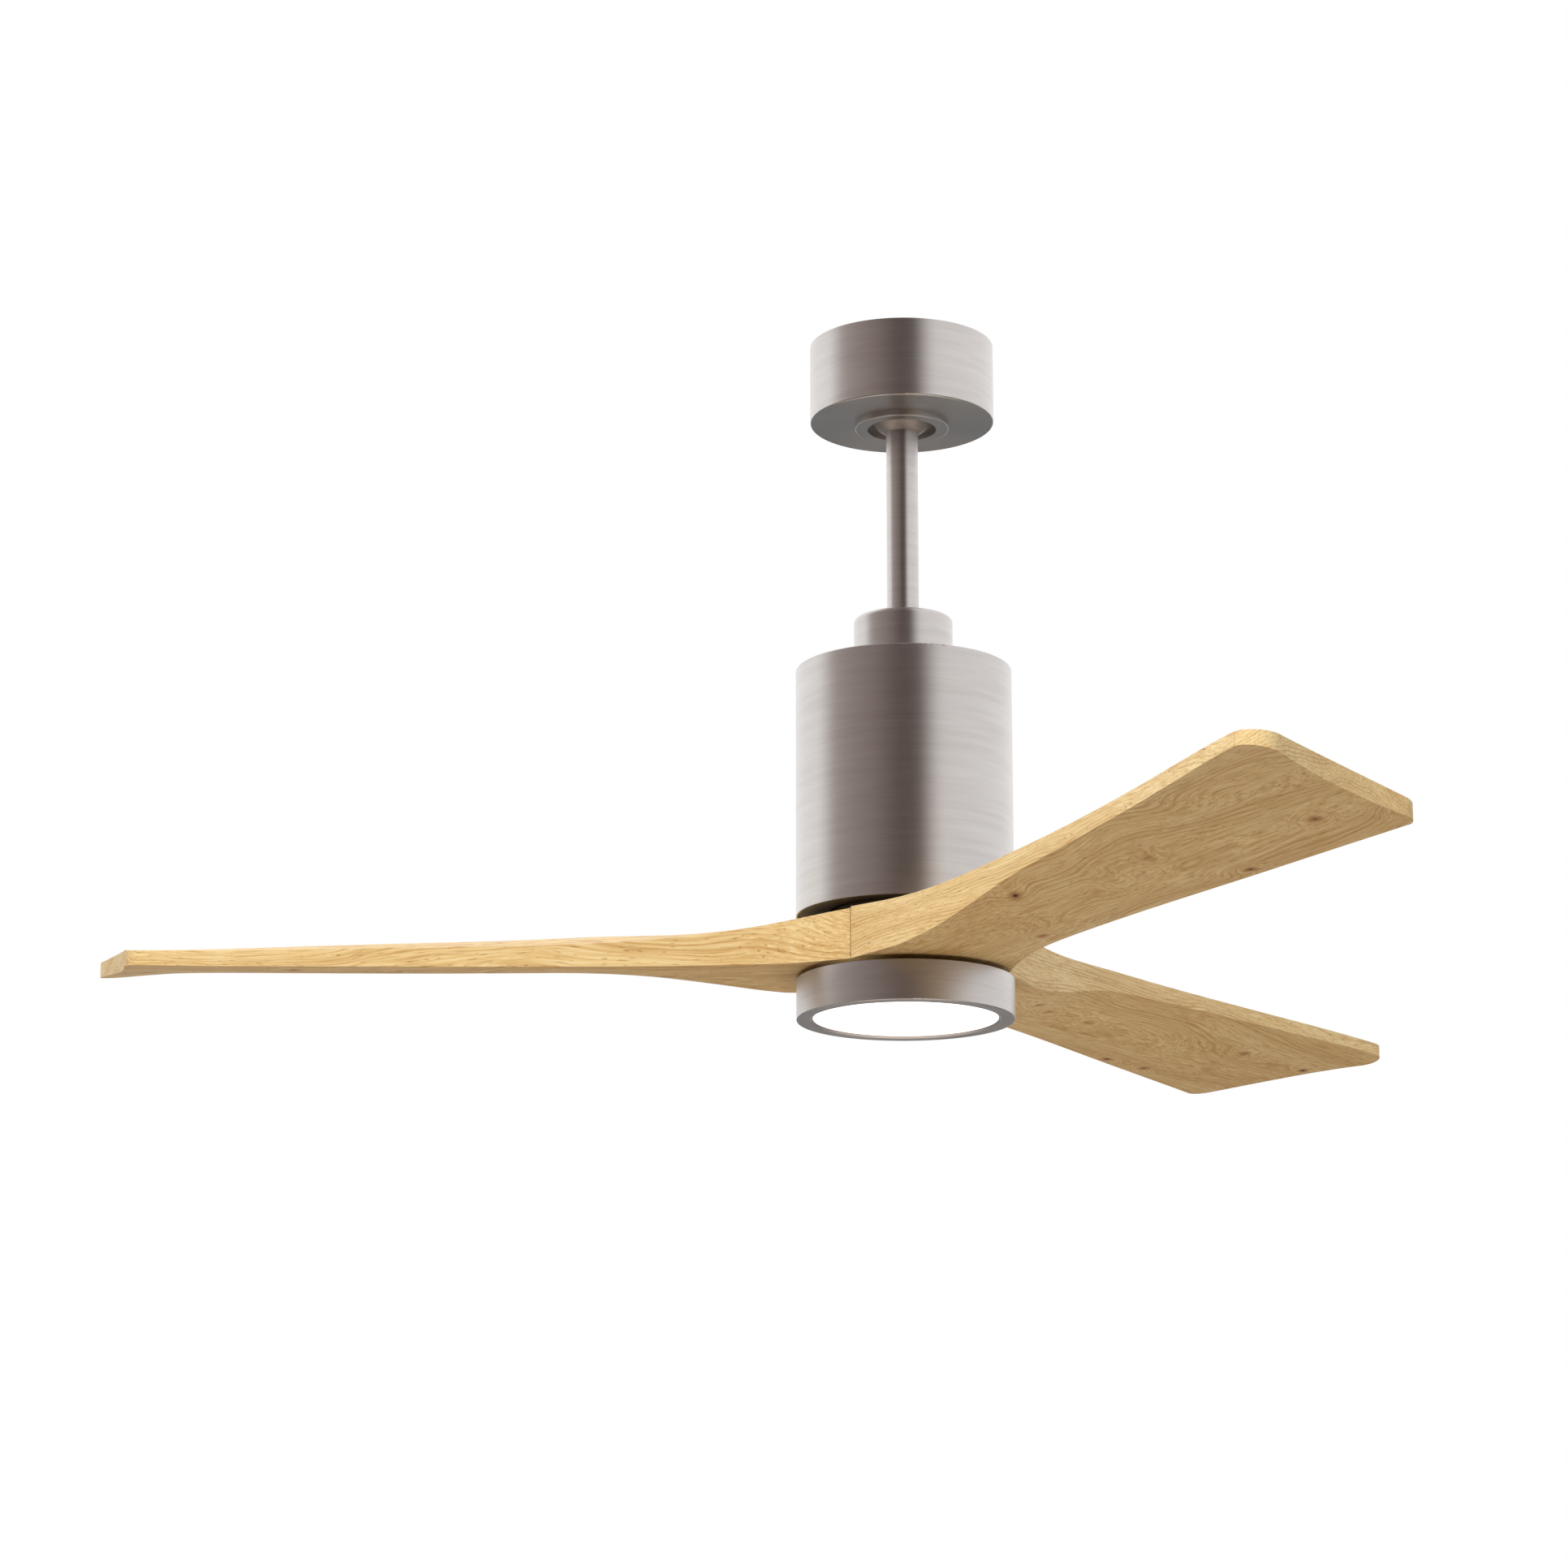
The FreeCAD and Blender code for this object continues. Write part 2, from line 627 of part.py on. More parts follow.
def make_housing_shell():
    """Spun drum with a flat roof and an open bottom."""
    body = new_body("housing_shell")
    turn(body, ((s.shaft_radius, housing_roof), (housing_inner, housing_roof),
                (housing_inner, housing_bottom), (s.housing_radius, housing_bottom),
                (s.housing_radius, housing_top), (s.shaft_radius, housing_top)))
    ring_of_holes(body, s.yoke_bolt_circle, s.yoke_bolt, 4, housing_roof - s.past,
                  housing_top + s.past)
    round_edges(body, on_circle(s.housing_radius, housing_top), s.housing_wall)
    return place(body)


def make_bottom_cover():
    """Dark annular cover recessed in the bottom of the housing."""
    body = new_body("bottom_cover")
    low = housing_bottom + s.cover_recess
    top = low + s.cover_flange
    floor = low + s.cover_sheet
    inside = housing_inner - s.cover_sheet
    turn(body, ((s.cover_hole, low), (housing_inner, low), (housing_inner, top), (inside, top),
                (inside, floor), (s.cover_hole, floor)))
    return place(body)


def make_motor_mount():
    """Plate under the housing roof that carries the shaft and the controller."""
    body = new_body("motor_mount")
    edge = board_radius - 4
    boss_floor = mount_bottom - 4
    turn(body, ((s.shaft_radius, boss_floor), (s.mount_boss, boss_floor),
                (s.mount_boss, mount_bottom), (edge, mount_bottom), (edge, housing_roof),
                (s.shaft_radius, housing_roof)))
    ring_of_holes(body, s.yoke_bolt_circle, s.yoke_bolt, 4, mount_bottom - s.past,
                  housing_roof + s.past)
    return place(body)


def make_motor_shaft():
    """Hollow fixed shaft from the yoke down to the light, with two wire windows."""
    body = new_body("motor_shaft")
    turn(body, rectangle(s.shaft_bore, s.shaft_radius - s.slip, nut_bottom, yoke_base))
    pocket(body, lambda k: draw_circle(k, 0, cable_exit, s.cable_radius + 0.5),
           -s.shaft_radius - s.past, s.shaft_radius + s.past, "XZ_Plane")
    return place(body)


def make_controller_board():
    """Ring-shaped motor controller board."""
    body = washer("controller_board", s.shaft_radius + 9, board_radius, s.board_height,
                  board_top - s.board_height)
    ring_of_holes(body, board_post_circle, 1.6, 3, -s.past, s.board_height + s.past)
    return body


def make_board_standoffs():
    """Three spacers with screw ends that hang the board under the motor mount."""
    body = new_body("board_standoffs")
    foot = board_top - s.board_height - 2
    post = pad(body, lambda k: draw_circle(k, board_post_circle, 0, 3.5), board_top, mount_bottom)
    stem = pad(body, lambda k: draw_circle(k, board_post_circle, 0, 1.6), foot, board_top)
    around(body, [post, stem], 3)
    return place(body)


def make_board_components():
    """Capacitors, power chips and the two cable sockets standing on the board."""
    body = new_body("board_components")
    can = pad(body, lambda k: draw_circle(k, 34, 12, 6), board_top, board_top + 16)
    chip = pad(body, lambda k: draw_polygon(k, rectangle(40, 52, -16, -5)), board_top,
               board_top + 3)
    around(body, [can, chip], 3)
    for low, high in ((s.cable_reach, s.cable_reach + 8), (-s.cable_reach - 8, -s.cable_reach)):
        socket = rectangle(-5, 5, low, high)
        pad(body, lambda k: draw_polygon(k, socket), board_top, cable_exit + 4)
    return place(body)


def make_rotor_bell():
    """Steel rotor bell with the upper bearing seat and a flange at its foot."""
    body = new_body("rotor_bell")
    roof = rotor_top - 4
    shelf = rotor_top - 2
    seat_bottom = shelf - s.bearing_width
    boss = s.bearing_radius + 5
    lip = s.bearing_radius - s.bearing_lip
    foot = rotor_bottom + 4
    turn(body, ((lip, rotor_top), (rotor_radius, rotor_top), (rotor_radius, foot),
                (rotor_edge, foot), (rotor_edge, rotor_bottom), (rotor_inner, rotor_bottom),
                (rotor_inner, roof), (boss, roof), (boss, seat_bottom),
                (s.bearing_radius, seat_bottom), (s.bearing_radius, shelf), (lip, shelf)))
    ring_of_holes(body, rotor_screw_circle, s.small_screw, 6, rotor_bottom - s.past, foot + s.past)
    return place(body, 0, hub_turn)


def make_rotor_hub():
    """Cast hub: closes the bell, seats the lower bearing and carries the blades."""
    body = new_body("rotor_hub")
    disc = rotor_bottom - s.hub_disc
    shelf = plank_top + s.hub_flange_height
    drum_inner = s.bearing_radius + 6
    lip = s.bearing_radius - s.bearing_lip
    under = bearing_floor - 3
    turn(body, ((s.bearing_radius, rotor_bottom - 4), (s.bearing_radius, rotor_bottom),
                (rotor_edge, rotor_bottom), (rotor_edge, disc), (s.hub_drum, disc),
                (s.hub_drum, shelf), (s.hub_flange, shelf), (s.hub_flange, plank_top),
                (s.hub_hole, plank_top), (s.hub_hole, shelf), (drum_inner, shelf),
                (drum_inner, under), (lip, under), (lip, bearing_floor),
                (s.bearing_radius, bearing_floor)))
    ring_of_holes(body, rotor_screw_circle, s.small_screw, 6, disc - s.past, rotor_bottom + s.past)
    ring_of_holes(body, s.screw_circle, s.blade_screw + s.slip, BLADE_COUNT * SCREWS_PER_BLADE,
                  plank_top - s.past, shelf + s.past)
    return place(body, 0, hub_turn)


def make_rotor_screws():
    """Six screws up through the hub flange into the bell."""
    return screws("rotor_screws", rotor_screw_circle, 6, (2.5, 2), (s.small_screw, s.hub_disc + 3),
                  rotor_bottom - s.hub_disc, start=hub_turn, drive=1)


def make_magnets():
    """Ring of curved magnets on the inside of the bell."""
    body = new_body("rotor_magnets")
    half = s.magnet_height / 2
    width = 360 / s.magnets.value - s.magnet_space.value
    one = turn(body, rectangle(rotor_inner - s.magnet_thick, rotor_inner, -half, half),
               angle=width)
    around(body, [one], s.magnets.value)
    return place(body, stator_middle)


def make_stator_core():
    """Laminated stator: a toothed ring on the shaft."""
    body = new_body("stator_core")
    half = s.stator_height / 2
    turn(body, rectangle(s.shaft_radius, stator_radius, -half, half))
    step = math.radians(180 / s.teeth.value)
    side = s.tooth_width / 2 / math.cos(step)
    outer = stator_radius - s.tooth_tip
    inner = outer - s.tooth_depth
    floor_half = inner * math.tan(step) - side
    mouth_half = outer * math.tan(step) - side
    far = stator_radius + s.past
    mouth = s.slot_mouth
    slot = ((inner, -floor_half), (outer, -mouth_half), (outer, -mouth), (far, -mouth),
            (far, mouth), (outer, mouth), (outer, mouth_half), (inner, floor_half))
    cut = pocket(body, lambda k: draw_polygon(k, slot), -half - s.past, half + s.past)
    around(body, [cut], s.teeth.value)
    return place(body, stator_middle, 180 / s.teeth.value)


def make_windings():
    """One copper coil around each stator tooth."""
    body = new_body("stator_windings")
    half = s.stator_height / 2
    outer = stator_radius - s.tooth_tip - 1.5
    inner = outer - s.tooth_depth + 3
    tooth = s.tooth_width / 2 + s.slip
    across = tooth + s.coil_thick
    over = half + s.coil_overhang
    coil = pad(body, lambda k: draw_polygon(k, rectangle(inner, outer, -across, across)),
               -over, over)
    hollow = rectangle(inner - s.past, outer + s.past, -tooth, tooth)
    window = pocket(body, lambda k: draw_polygon(k, hollow), -half - s.slip, half + s.slip)
    around(body, [coil, window], s.teeth.value)
    return place(body, stator_middle)


def make_bearing(name, low):
    """Inner race, outer race and ball row of one motor bearing."""
    middle = (s.shaft_radius + s.bearing_radius) / 2
    ball = (s.bearing_radius - s.shaft_radius) * 0.3
    half = s.bearing_width / 2
    shoulder = ball * 0.45
    groove = {"Radius1": middle, "Radius2": ball + s.slip}
    inner = new_body(f"{name}_bearing_inner")
    turn(inner, rectangle(s.shaft_radius, middle - shoulder, -half, half))
    outer = new_body(f"{name}_bearing_outer")
    turn(outer, rectangle(middle + shoulder, s.bearing_radius, -half, half))
    for race in (inner, outer):
        solid_of_turning(race, "SubtractiveTorus", groove, 0)
    balls = new_body(f"{name}_bearing_balls")
    one = solid_of_turning(balls, "AdditiveSphere", {"Radius": ball}, 0, middle)
    around(balls, [one], s.bearing_ball_count.value)
    for body in (inner, outer, balls):
        place(body, low + half)


# ---------------------------------------------------------------- blades

def section_size(index, word):
    """One size of one blade section."""
    return getattr(s, f"section_{index}_{word}")


def section_sketch(body, index):
    """One blade section: upright edges joined by bowed under and upper faces."""
    sizes = {word: section_size(index, word) for word in SECTION_WORDS}
    sketch = new_sketch(body, "YZ_Plane", sizes["out"])
    half = s.plank / 2
    corners = ((-sizes["lead"], sizes["leadlow"] - half),
               (sizes["trail"], sizes["traillow"] - half),
               (sizes["trail"], half - sizes["trailtop"]),
               (-sizes["lead"], half - sizes["leadtop"]))
    arcs = {}
    for side, bow in ((0, sizes["underbow"]), (2, sizes["overbow"])):
        (x0, y0), (x1, y1) = corners[side], corners[side + 1]
        chord_squared = (x1 - x0) * (x1 - x0) + (y1 - y0) * (y1 - y0)
        arcs[side] = chord_squared / 8 / bow + bow / 2
    draw_outline(sketch, corners, arcs)
    return sketch


def draw_outline(sketch, corners, arcs):
    """Closed outline whose listed sides are arcs, given as radii.

    An arc bulges to the right of its direction, or to the left when its radius is negative.
    """
    points = [FreeCAD.Vector(length(x).value, length(y).value, 0) for x, y in corners]
    count = len(points)
    for side in range(count):
        start, end = points[side], points[(side + 1) % count]
        if side not in arcs:
            sketch.addGeometry(Part.LineSegment(start, end), False)
            continue
        chord = end - start
        radius = arcs[side].value
        bulge = abs(radius) - math.sqrt(radius ** 2 - chord.Length ** 2 / 4)
        out = FreeCAD.Vector(chord.y, -chord.x, 0).normalize() * math.copysign(bulge, radius)
        sketch.addGeometry(Part.Arc(start, (start + end) * 0.5 + out, end), False)
    # A sketch keeps every arc turning left, so an arc that bulges left has its ends swapped.
    ends = [(2, 1) if side in arcs and arcs[side].value < 0 else (1, 2) for side in range(count)]
    for side, (x, y) in enumerate(corners):
        following = (side + 1) % count
        joined = Sketcher.Constraint("Coincident", side, ends[side][1], following,
                                     ends[following][0])
        sketch.addConstraint(joined)
        pin_point(sketch, side, ends[side][0], x, y)
    for side, radius in arcs.items():
        size = radius if radius.value > 0 else -radius
        index = sketch.addConstraint(Sketcher.Constraint("Radius", side, size.value))
        sketch.setExpression(f"Constraints[{index}]", size.formula)


def edge_width(word, out):
    """Width ahead of or behind the blade's line, read off between the two nearest sections."""
    near = max(index for index, section in enumerate(BLADE_SECTIONS[:-1])
               if section[0] <= out.value)
    start, end = section_size(near, "out"), section_size(near + 1, "out")
    share = (out - start) / (end - start)
    return section_size(near, word) + (section_size(near + 1, word)
                                       - section_size(near, word)) * share


def toward(start, end):
    """Unit direction from one point to another, as plain numbers."""
    step_x = (length(end[0]) - start[0]).value
    step_y = (length(end[1]) - start[1]).value
    size = math.hypot(step_x, step_y)
    return step_x / size, step_y / size


def rounded_corner(corner, first, second):
    """Both ends of the arc that rounds a corner whose sides leave it in two directions."""
    opening = math.acos(first[0] * second[0] + first[1] * second[1])
    run = s.tip_corner / math.tan(opening / 2)
    return [(corner[0] + run * way[0], corner[1] + run * way[1]) for way in (first, second)]


def tip_outline():
    """Outline of all that is cut off past the slanted, slightly hollow tip, and its arcs.

    Its corner arcs start just outside the blade's edges, so that they cut cleanly through them.
    """
    inboard = s.tip_trail - s.plank

    def edge_point(word, side, out):
        return (out, side * (edge_width(word, out) + s.corner_lead_in))
    lead_corner = edge_point("lead", -1, s.tip_lead)
    trail_corner = edge_point("trail", 1, s.tip_trail)
    run_x, run_y = trail_corner[0] - lead_corner[0], trail_corner[1] - lead_corner[1]
    hollow_radius = (run_x * run_x + run_y * run_y) / 8 / s.tip_hollow + s.tip_hollow / 2
    lean = 2 * math.atan(2 * s.tip_hollow.value / math.hypot(run_x.value, run_y.value))
    across = toward(lead_corner, trail_corner)
    into = (across[0] * math.cos(lean) - across[1] * math.sin(lean),
            across[0] * math.sin(lean) + across[1] * math.cos(lean))
    back = (-across[0] * math.cos(lean) - across[1] * math.sin(lean),
            across[0] * math.sin(lean) - across[1] * math.cos(lean))
    lead_way = toward(lead_corner, edge_point("lead", -1, inboard))
    trail_way = toward(trail_corner, edge_point("trail", 1, inboard))
    first, second = rounded_corner(lead_corner, lead_way, into)
    fourth, third = rounded_corner(trail_corner, trail_way, back)
    beyond = section_size(len(BLADE_SECTIONS) - 1, "out") + s.past
    low, high = first[1] - s.plank, fourth[1] + s.plank
    corners = ((first[0], low), first, second, third, fourth, (fourth[0], high),
               (beyond, high), (beyond, low))
    return corners, {1: s.tip_corner, 2: -hollow_radius, 3: s.tip_corner}


def root_mitre(side):
    """Outline of everything past one mitred side of a blade root."""
    half_share = math.pi / BLADE_COUNT
    start = s.seam / 2 / math.sin(half_share)
    reach = section_size(0, "lead") * 1.3
    along_x = reach * math.cos(half_share)
    along_y = reach * (side * math.sin(half_share))
    return ((start - along_x, -along_y), (start + along_x, along_y),
            (start - reach * 2, reach * side))


def make_blade(number):
    """Carved blade: twisted loft, flat root faces, mitred root, slanted rounded tip."""
    body = new_body(f"blade_{number}")
    sketches = [section_sketch(body, index) for index in range(len(BLADE_SECTIONS))]
    doc.recompute()
    loft = body.newObject("PartDesign::AdditiveLoft", f"{body.Name}_loft")
    loft.Profile = (sketches[0], [""])
    loft.Sections = [(sketch, [""]) for sketch in sketches[1:]]
    loft.Ruled = False
    half = s.plank / 2
    beyond = section_size(len(sketches) - 1, "out") + s.past
    slab = rectangle(-s.past, beyond, -s.plank * 4, s.plank * 4)
    pocket(body, lambda k: draw_polygon(k, slab), half, s.plank)
    pocket(body, lambda k: draw_polygon(k, slab), -s.plank, -half)
    low, high = -half - s.past, half + s.past
    for side in (-1, 1):
        pocket(body, lambda k: draw_polygon(k, root_mitre(side)), low, high)
    pocket(body, lambda k: draw_circle(k, 0, 0, s.hub_hole), low, high)

    def screw_holes(sketch):
        for step in range(SCREWS_PER_BLADE):
            turned = 2 * math.pi / BLADE_COUNT * ((step + 0.5) / SCREWS_PER_BLADE - 0.5)
            draw_circle(sketch, s.screw_circle * math.cos(turned),
                        s.screw_circle * math.sin(turned), s.blade_screw + s.hole_slack)
    pocket(body, screw_holes, low, high)
    pocket(body, lambda k: draw_outline(k, *tip_outline()), low, high)
    angle = 180 - s.blade_angle.value + 360 / BLADE_COUNT * (number - 1)
    return place(body, plank_top - half, angle)


def make_clamp_plate():
    """Steel ring under the blade roots that spreads the screw load."""
    body = washer("blade_clamp_plate", s.hub_hole, s.clamp_radius, s.clamp_height, 0)
    ring_of_holes(body, s.screw_circle, s.blade_screw + s.hole_slack,
                  BLADE_COUNT * SCREWS_PER_BLADE, -s.past, s.clamp_height + s.past)
    return place(body, clamp_bottom, hub_turn)


def make_blade_screws():
    """Nine machine screws up through the clamp plate and blade roots into the hub."""
    reach = s.clamp_height + s.plank + s.hub_flange_height - s.past
    return screws("blade_screws", s.screw_circle, BLADE_COUNT * SCREWS_PER_BLADE, (5, 3),
                  (s.blade_screw, reach), clamp_bottom, start=hub_turn, drive=2)


# ---------------------------------------------------------------- light

ADAPTER_TURN = 90


def make_light_adapter():
    """Plate on the lower end of the shaft that the light pan hangs from."""
    body = washer("light_adapter", s.shaft_radius, s.adapter_radius, s.adapter_height, 0)
    ring_of_holes(body, adapter_screw_circle, s.small_screw, 3, -s.past, s.adapter_height + s.past)
    return place(body, adapter_bottom, ADAPTER_TURN)


def make_shaft_nut():
    """Hexagon nut under the pan that holds the light on the shaft."""
    body = new_body("shaft_nut")
    corner = s.nut_width / 2 / math.cos(math.pi / 6)
    turns = [math.pi / 3 * step for step in range(6)]
    corners = [(corner * math.cos(turned), corner * math.sin(turned)) for turned in turns]
    pad(body, lambda k: draw_polygon(k, corners), 0, s.nut_height)
    pocket(body, lambda k: draw_circle(k, 0, 0, s.shaft_radius), -s.past, s.nut_height + s.past)
    return place(body, nut_bottom)


def make_light_pan():
    """Pressed pan: recessed middle that clears the clamp plate, and a side wall for the ring."""
    body = new_body("light_pan")
    sheet = s.pan_sheet
    shoulder = light_top - sheet
    floor = light_bottom + s.lens_inset + s.lens_height + 7.4
    turn(body, ((s.shaft_radius, pan_roof), (pan_step, pan_roof), (pan_step, shoulder - sheet),
                (light_inner - sheet, shoulder - sheet), (light_inner - sheet, floor),
                (light_inner, floor), (light_inner, shoulder), (pan_step - sheet, shoulder),
                (pan_step - sheet, adapter_bottom), (s.shaft_radius, adapter_bottom)))
    ring_of_holes(body, adapter_screw_circle, s.small_screw + s.hole_slack, 3, pan_roof - s.past,
                  adapter_bottom + s.past)
    return place(body, 0, ADAPTER_TURN)


def make_pan_screws():
    """Three screws up through the pan into the adapter."""
    return screws("pan_screws", adapter_screw_circle, 3, (3, 2),
                  (s.small_screw, s.pan_sheet + s.adapter_height - s.hole_slack), pan_roof,
                  start=ADAPTER_TURN, drive=1)


def make_light_ring():
    """Visible metal ring around the light with a bevelled lip that holds the lens."""
    body = new_body("light_ring")
    lip = light_bottom + s.lens_inset
    shelf = lip + s.lens_height - s.lens_rim_height
    turn(body, ((lens_radius + s.light_bevel, light_bottom), (s.light_radius, light_bottom),
                (s.light_radius, light_top), (light_inner, light_top), (light_inner, shelf),
                (lens_radius, shelf), (lens_radius, lip)))
    round_edges(body, on_circle(s.light_radius, light_bottom), s.light_wall / 2)
    return place(body)


def make_lens():
    """Flat opal lens with a thin rim that rests on the ring's lip."""
    body = new_body("light_lens")
    low = light_bottom + s.lens_inset
    shelf = low + s.lens_height - s.lens_rim_height
    face = lens_radius - s.slip
    rim = lens_radius + s.lens_rim
    top = shelf + s.lens_rim_height
    turn(body, ((0, low), (face, low), (face, shelf), (rim, shelf), (rim, top), (0, top)))
    return place(body)


def make_led_board():
    """Round metal-core board that carries the LEDs."""
    body = washer("led_board", 10, led_board_radius, s.board_height, led_top - s.board_height)
    ring_of_holes(body, led_post_circle, 1.6, 3, -s.past, s.board_height + s.past)
    return body


def make_led_standoffs():
    """Three spacers between the pan and the LED board, with screw ends."""
    body = new_body("led_standoffs")
    post = pad(body, lambda k: draw_circle(k, led_post_circle, 0, 3), led_top, pan_roof)
    stem = pad(body, lambda k: draw_circle(k, led_post_circle, 0, 1.6), led_top - 3, led_top)
    around(body, [post, stem], 3)
    return place(body)


def make_led_chips():
    """LEDs in two rings on the underside of the board."""
    body = new_body("led_chips")
    underside = led_top - s.board_height
    half = s.led_size / 2
    rings = []
    for radius in (30, 50):
        chip = rectangle(radius - half, radius + half, -half, half)
        rings.append(pad(body, lambda k: draw_polygon(k, chip), underside - 0.8, underside))
    around(body, rings, s.leds.value / 2)
    return place(body)


def make_led_driver():
    """Constant-current driver under the pan's recess."""
    half_length = s.driver_length / 2
    half_width = s.driver_width / 2
    body = box("led_driver", (-half_length, half_length),
               (-s.driver_offset - half_width, half_width - s.driver_offset),
               (led_top + s.past, pan_roof))
    round_edges(body, upright_edge, 2)
    return body


# ---------------------------------------------------------------- cables

def make_cable(label, points):
    """Round cable swept along a path of straight runs with rounded corners.

    The points are (distance along Y, height) pairs in the plane through the axis.
    """
    body = new_body(label)
    path = new_sketch(body, "YZ_Plane")
    for index, (first, second) in enumerate(zip(points, points[1:])):
        start, end = [FreeCAD.Vector(length(x).value, length(y).value, 0) for x, y in
                      (first, second)]
        path.addGeometry(Part.LineSegment(start, end), False)
        if index:
            path.addConstraint(Sketcher.Constraint("Coincident", index - 1, 2, index, 1))
        pin_point(path, index, 1, *first)
    pin_point(path, len(points) - 2, 2, *points[-1])
    doc.recompute()
    across, height = points[0]
    if length(across).value == length(points[1][0]).value:
        profile = new_sketch(body, "XY_Plane", height)
        draw_circle(profile, 0, across, s.cable_radius)
    else:
        profile = new_sketch(body, "XZ_Plane", -length(across))
        draw_circle(profile, 0, height, s.cable_radius)
    pipe = body.newObject("PartDesign::AdditivePipe", f"{label}_pipe")
    pipe.Profile = (profile, [""])
    pipe.Spine = (path, [f"Edge{index + 1}" for index in range(len(points) - 1)])
    pipe.Transition = "Round corner"
    return place(body)


def make_cables():
    """Supply lead down the rod to the board, and light lead down the shaft to the driver."""
    make_cable("supply_cable", ((s.cable_offset, s.cable_top - s.rod_top_depth),
                                (s.cable_offset, cable_exit), (s.cable_reach, cable_exit)))
    light_exit = nut_bottom - s.cable_radius * 1.5
    driver_face = s.driver_width / 2 - s.driver_offset
    make_cable("light_cable", ((-s.cable_reach, cable_exit), (-s.cable_offset, cable_exit),
                               (-s.cable_offset, light_exit), (driver_face, light_exit)))


def make_everything():
    """Build every sub-part."""
    for make in (make_hanger_bracket, make_canopy, make_canopy_ring, make_canopy_screws,
                 make_receiver, make_terminal_block, make_ground_screw, make_hanger_ball,
                 make_ball_pin, make_downrod, make_yoke, make_yoke_pin, make_pin_clip,
                 make_set_screws, make_yoke_bolts, make_collar, make_housing_shell,
                 make_bottom_cover, make_motor_mount, make_motor_shaft, make_controller_board,
                 make_board_standoffs, make_board_components, make_rotor_bell, make_rotor_hub,
                 make_rotor_screws, make_magnets, make_stator_core, make_windings):
        make()
    make_bearing("upper", rotor_top - 2 - s.bearing_width)
    make_bearing("lower", bearing_floor)
    for number in range(1, BLADE_COUNT + 1):
        make_blade(number)
    for make in (make_clamp_plate, make_blade_screws, make_light_adapter, make_shaft_nut,
                 make_light_pan, make_pan_screws, make_light_ring, make_lens, make_led_board,
                 make_led_standoffs, make_led_chips, make_led_driver, make_cables):
        make()


def check_and_write():
    """Stop on any failed object, then write one STEP file per sub-part."""
    doc.recompute()
    faults = [f"{item.Label}: {item.State}" for item in doc.Objects
              if "Invalid" in item.State or "Error" in item.State]
    for body in parts:
        if body.Shape.isNull() or not body.Shape.isValid() or not body.Shape.Solids:
            faults.append(f"{body.Label}: bad shape")
    if faults:
        raise RuntimeError("; ".join(faults))
    os.makedirs("parts", exist_ok=True)
    for body in parts:
        body.Shape.exportStep(f"parts/{body.Label}.step")
        extent = body.Shape.BoundBox
        print(f"{body.Label:24s} solids {len(body.Shape.Solids):3d} volume "
              f"{body.Shape.Volume:12.1f} z {extent.ZMin:8.2f} {extent.ZMax:8.2f} "
              f"x {extent.XMin:8.2f} {extent.XMax:8.2f} y {extent.YMin:8.2f} {extent.YMax:8.2f}")


make_everything()
check_and_write()
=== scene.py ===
"""Looks for a ceiling fan with light: brushed pewter metal, carved oak blades, a glowing opal lens.

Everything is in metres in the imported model's frame: +Z up, origin on the ceiling over the fan.
"""
import math

import bpy
import numpy as np
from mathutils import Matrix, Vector


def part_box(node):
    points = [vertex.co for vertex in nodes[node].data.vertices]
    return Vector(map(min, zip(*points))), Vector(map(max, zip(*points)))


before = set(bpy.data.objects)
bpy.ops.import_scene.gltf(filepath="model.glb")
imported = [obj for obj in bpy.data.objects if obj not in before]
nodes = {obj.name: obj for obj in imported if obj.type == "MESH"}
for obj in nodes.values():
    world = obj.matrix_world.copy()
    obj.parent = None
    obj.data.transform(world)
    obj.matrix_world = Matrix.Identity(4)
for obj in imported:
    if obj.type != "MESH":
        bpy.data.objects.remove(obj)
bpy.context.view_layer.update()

MM = 0.001
BLADE_ANGLE = math.radians(3.4)     # blade 1 points this far from straight left
BLADE_COUNT = 3
KNOTS = 7                           # knots on each blade
KNOT_SHAPE = (0.62, 1.0, 0.55)      # knots are longer along the blade and down into it
KNOT_REACH = 22 * MM                # how far from its heart a knot turns the grain
GRAIN_WANDER = 30 * MM
EDDY_DEPTH = 6 * MM
RING_WIDTH = 2.6 * MM               # pale early wood and a narrow darker line of late wood


# ---------------------------------------------------------------- material helpers

def linear(code):
    """sRGB hex code to linear RGBA: each channel by the sRGB transfer curve."""
    channels = [int(code[start:start + 2], 16) / 255 for start in (0, 2, 4)]
    curve = [c / 12.92 if c <= 0.04045 else ((c + 0.055) / 1.055) ** 2.4 for c in channels]
    return (*curve, 1.0)


class Finish:
    """A node tree being wired up: add() makes one node with its settings and links."""

    def __init__(self, name, owner=None):
        self.owner = owner or bpy.data.materials.new(name)
        self.owner.use_nodes = True
        self.tree = self.owner.node_tree
        self.tree.nodes.clear()

    def add(self, kind, links=None, values=None, stops=None, **settings):
        """Node of one kind; links maps inputs to sockets, values maps inputs to constants.

        A node or a socket may be given as a link, and stops are a ramp's (position, colour) pairs.
        """
        node = self.tree.nodes.new(kind)
        for name, value in settings.items():
            setattr(node, name, value)
        for key, value in (values or {}).items():
            node.inputs[key].default_value = value
        for key, source in (links or {}).items():
            self.tree.links.new(getattr(source, "outputs", [source])[0], node.inputs[key])
        if stops:
            elements = node.color_ramp.elements
            while len(elements) < len(stops):
                elements.new(0.5)
            for element, (position, colour) in zip(elements, stops):
                element.position = position
                element.color = colour
        return node

    def material(self, shader):
        """Wire the shader to the output and hand the material back."""
        self.add("ShaderNodeOutputMaterial", {"Surface": shader})
        return self.owner


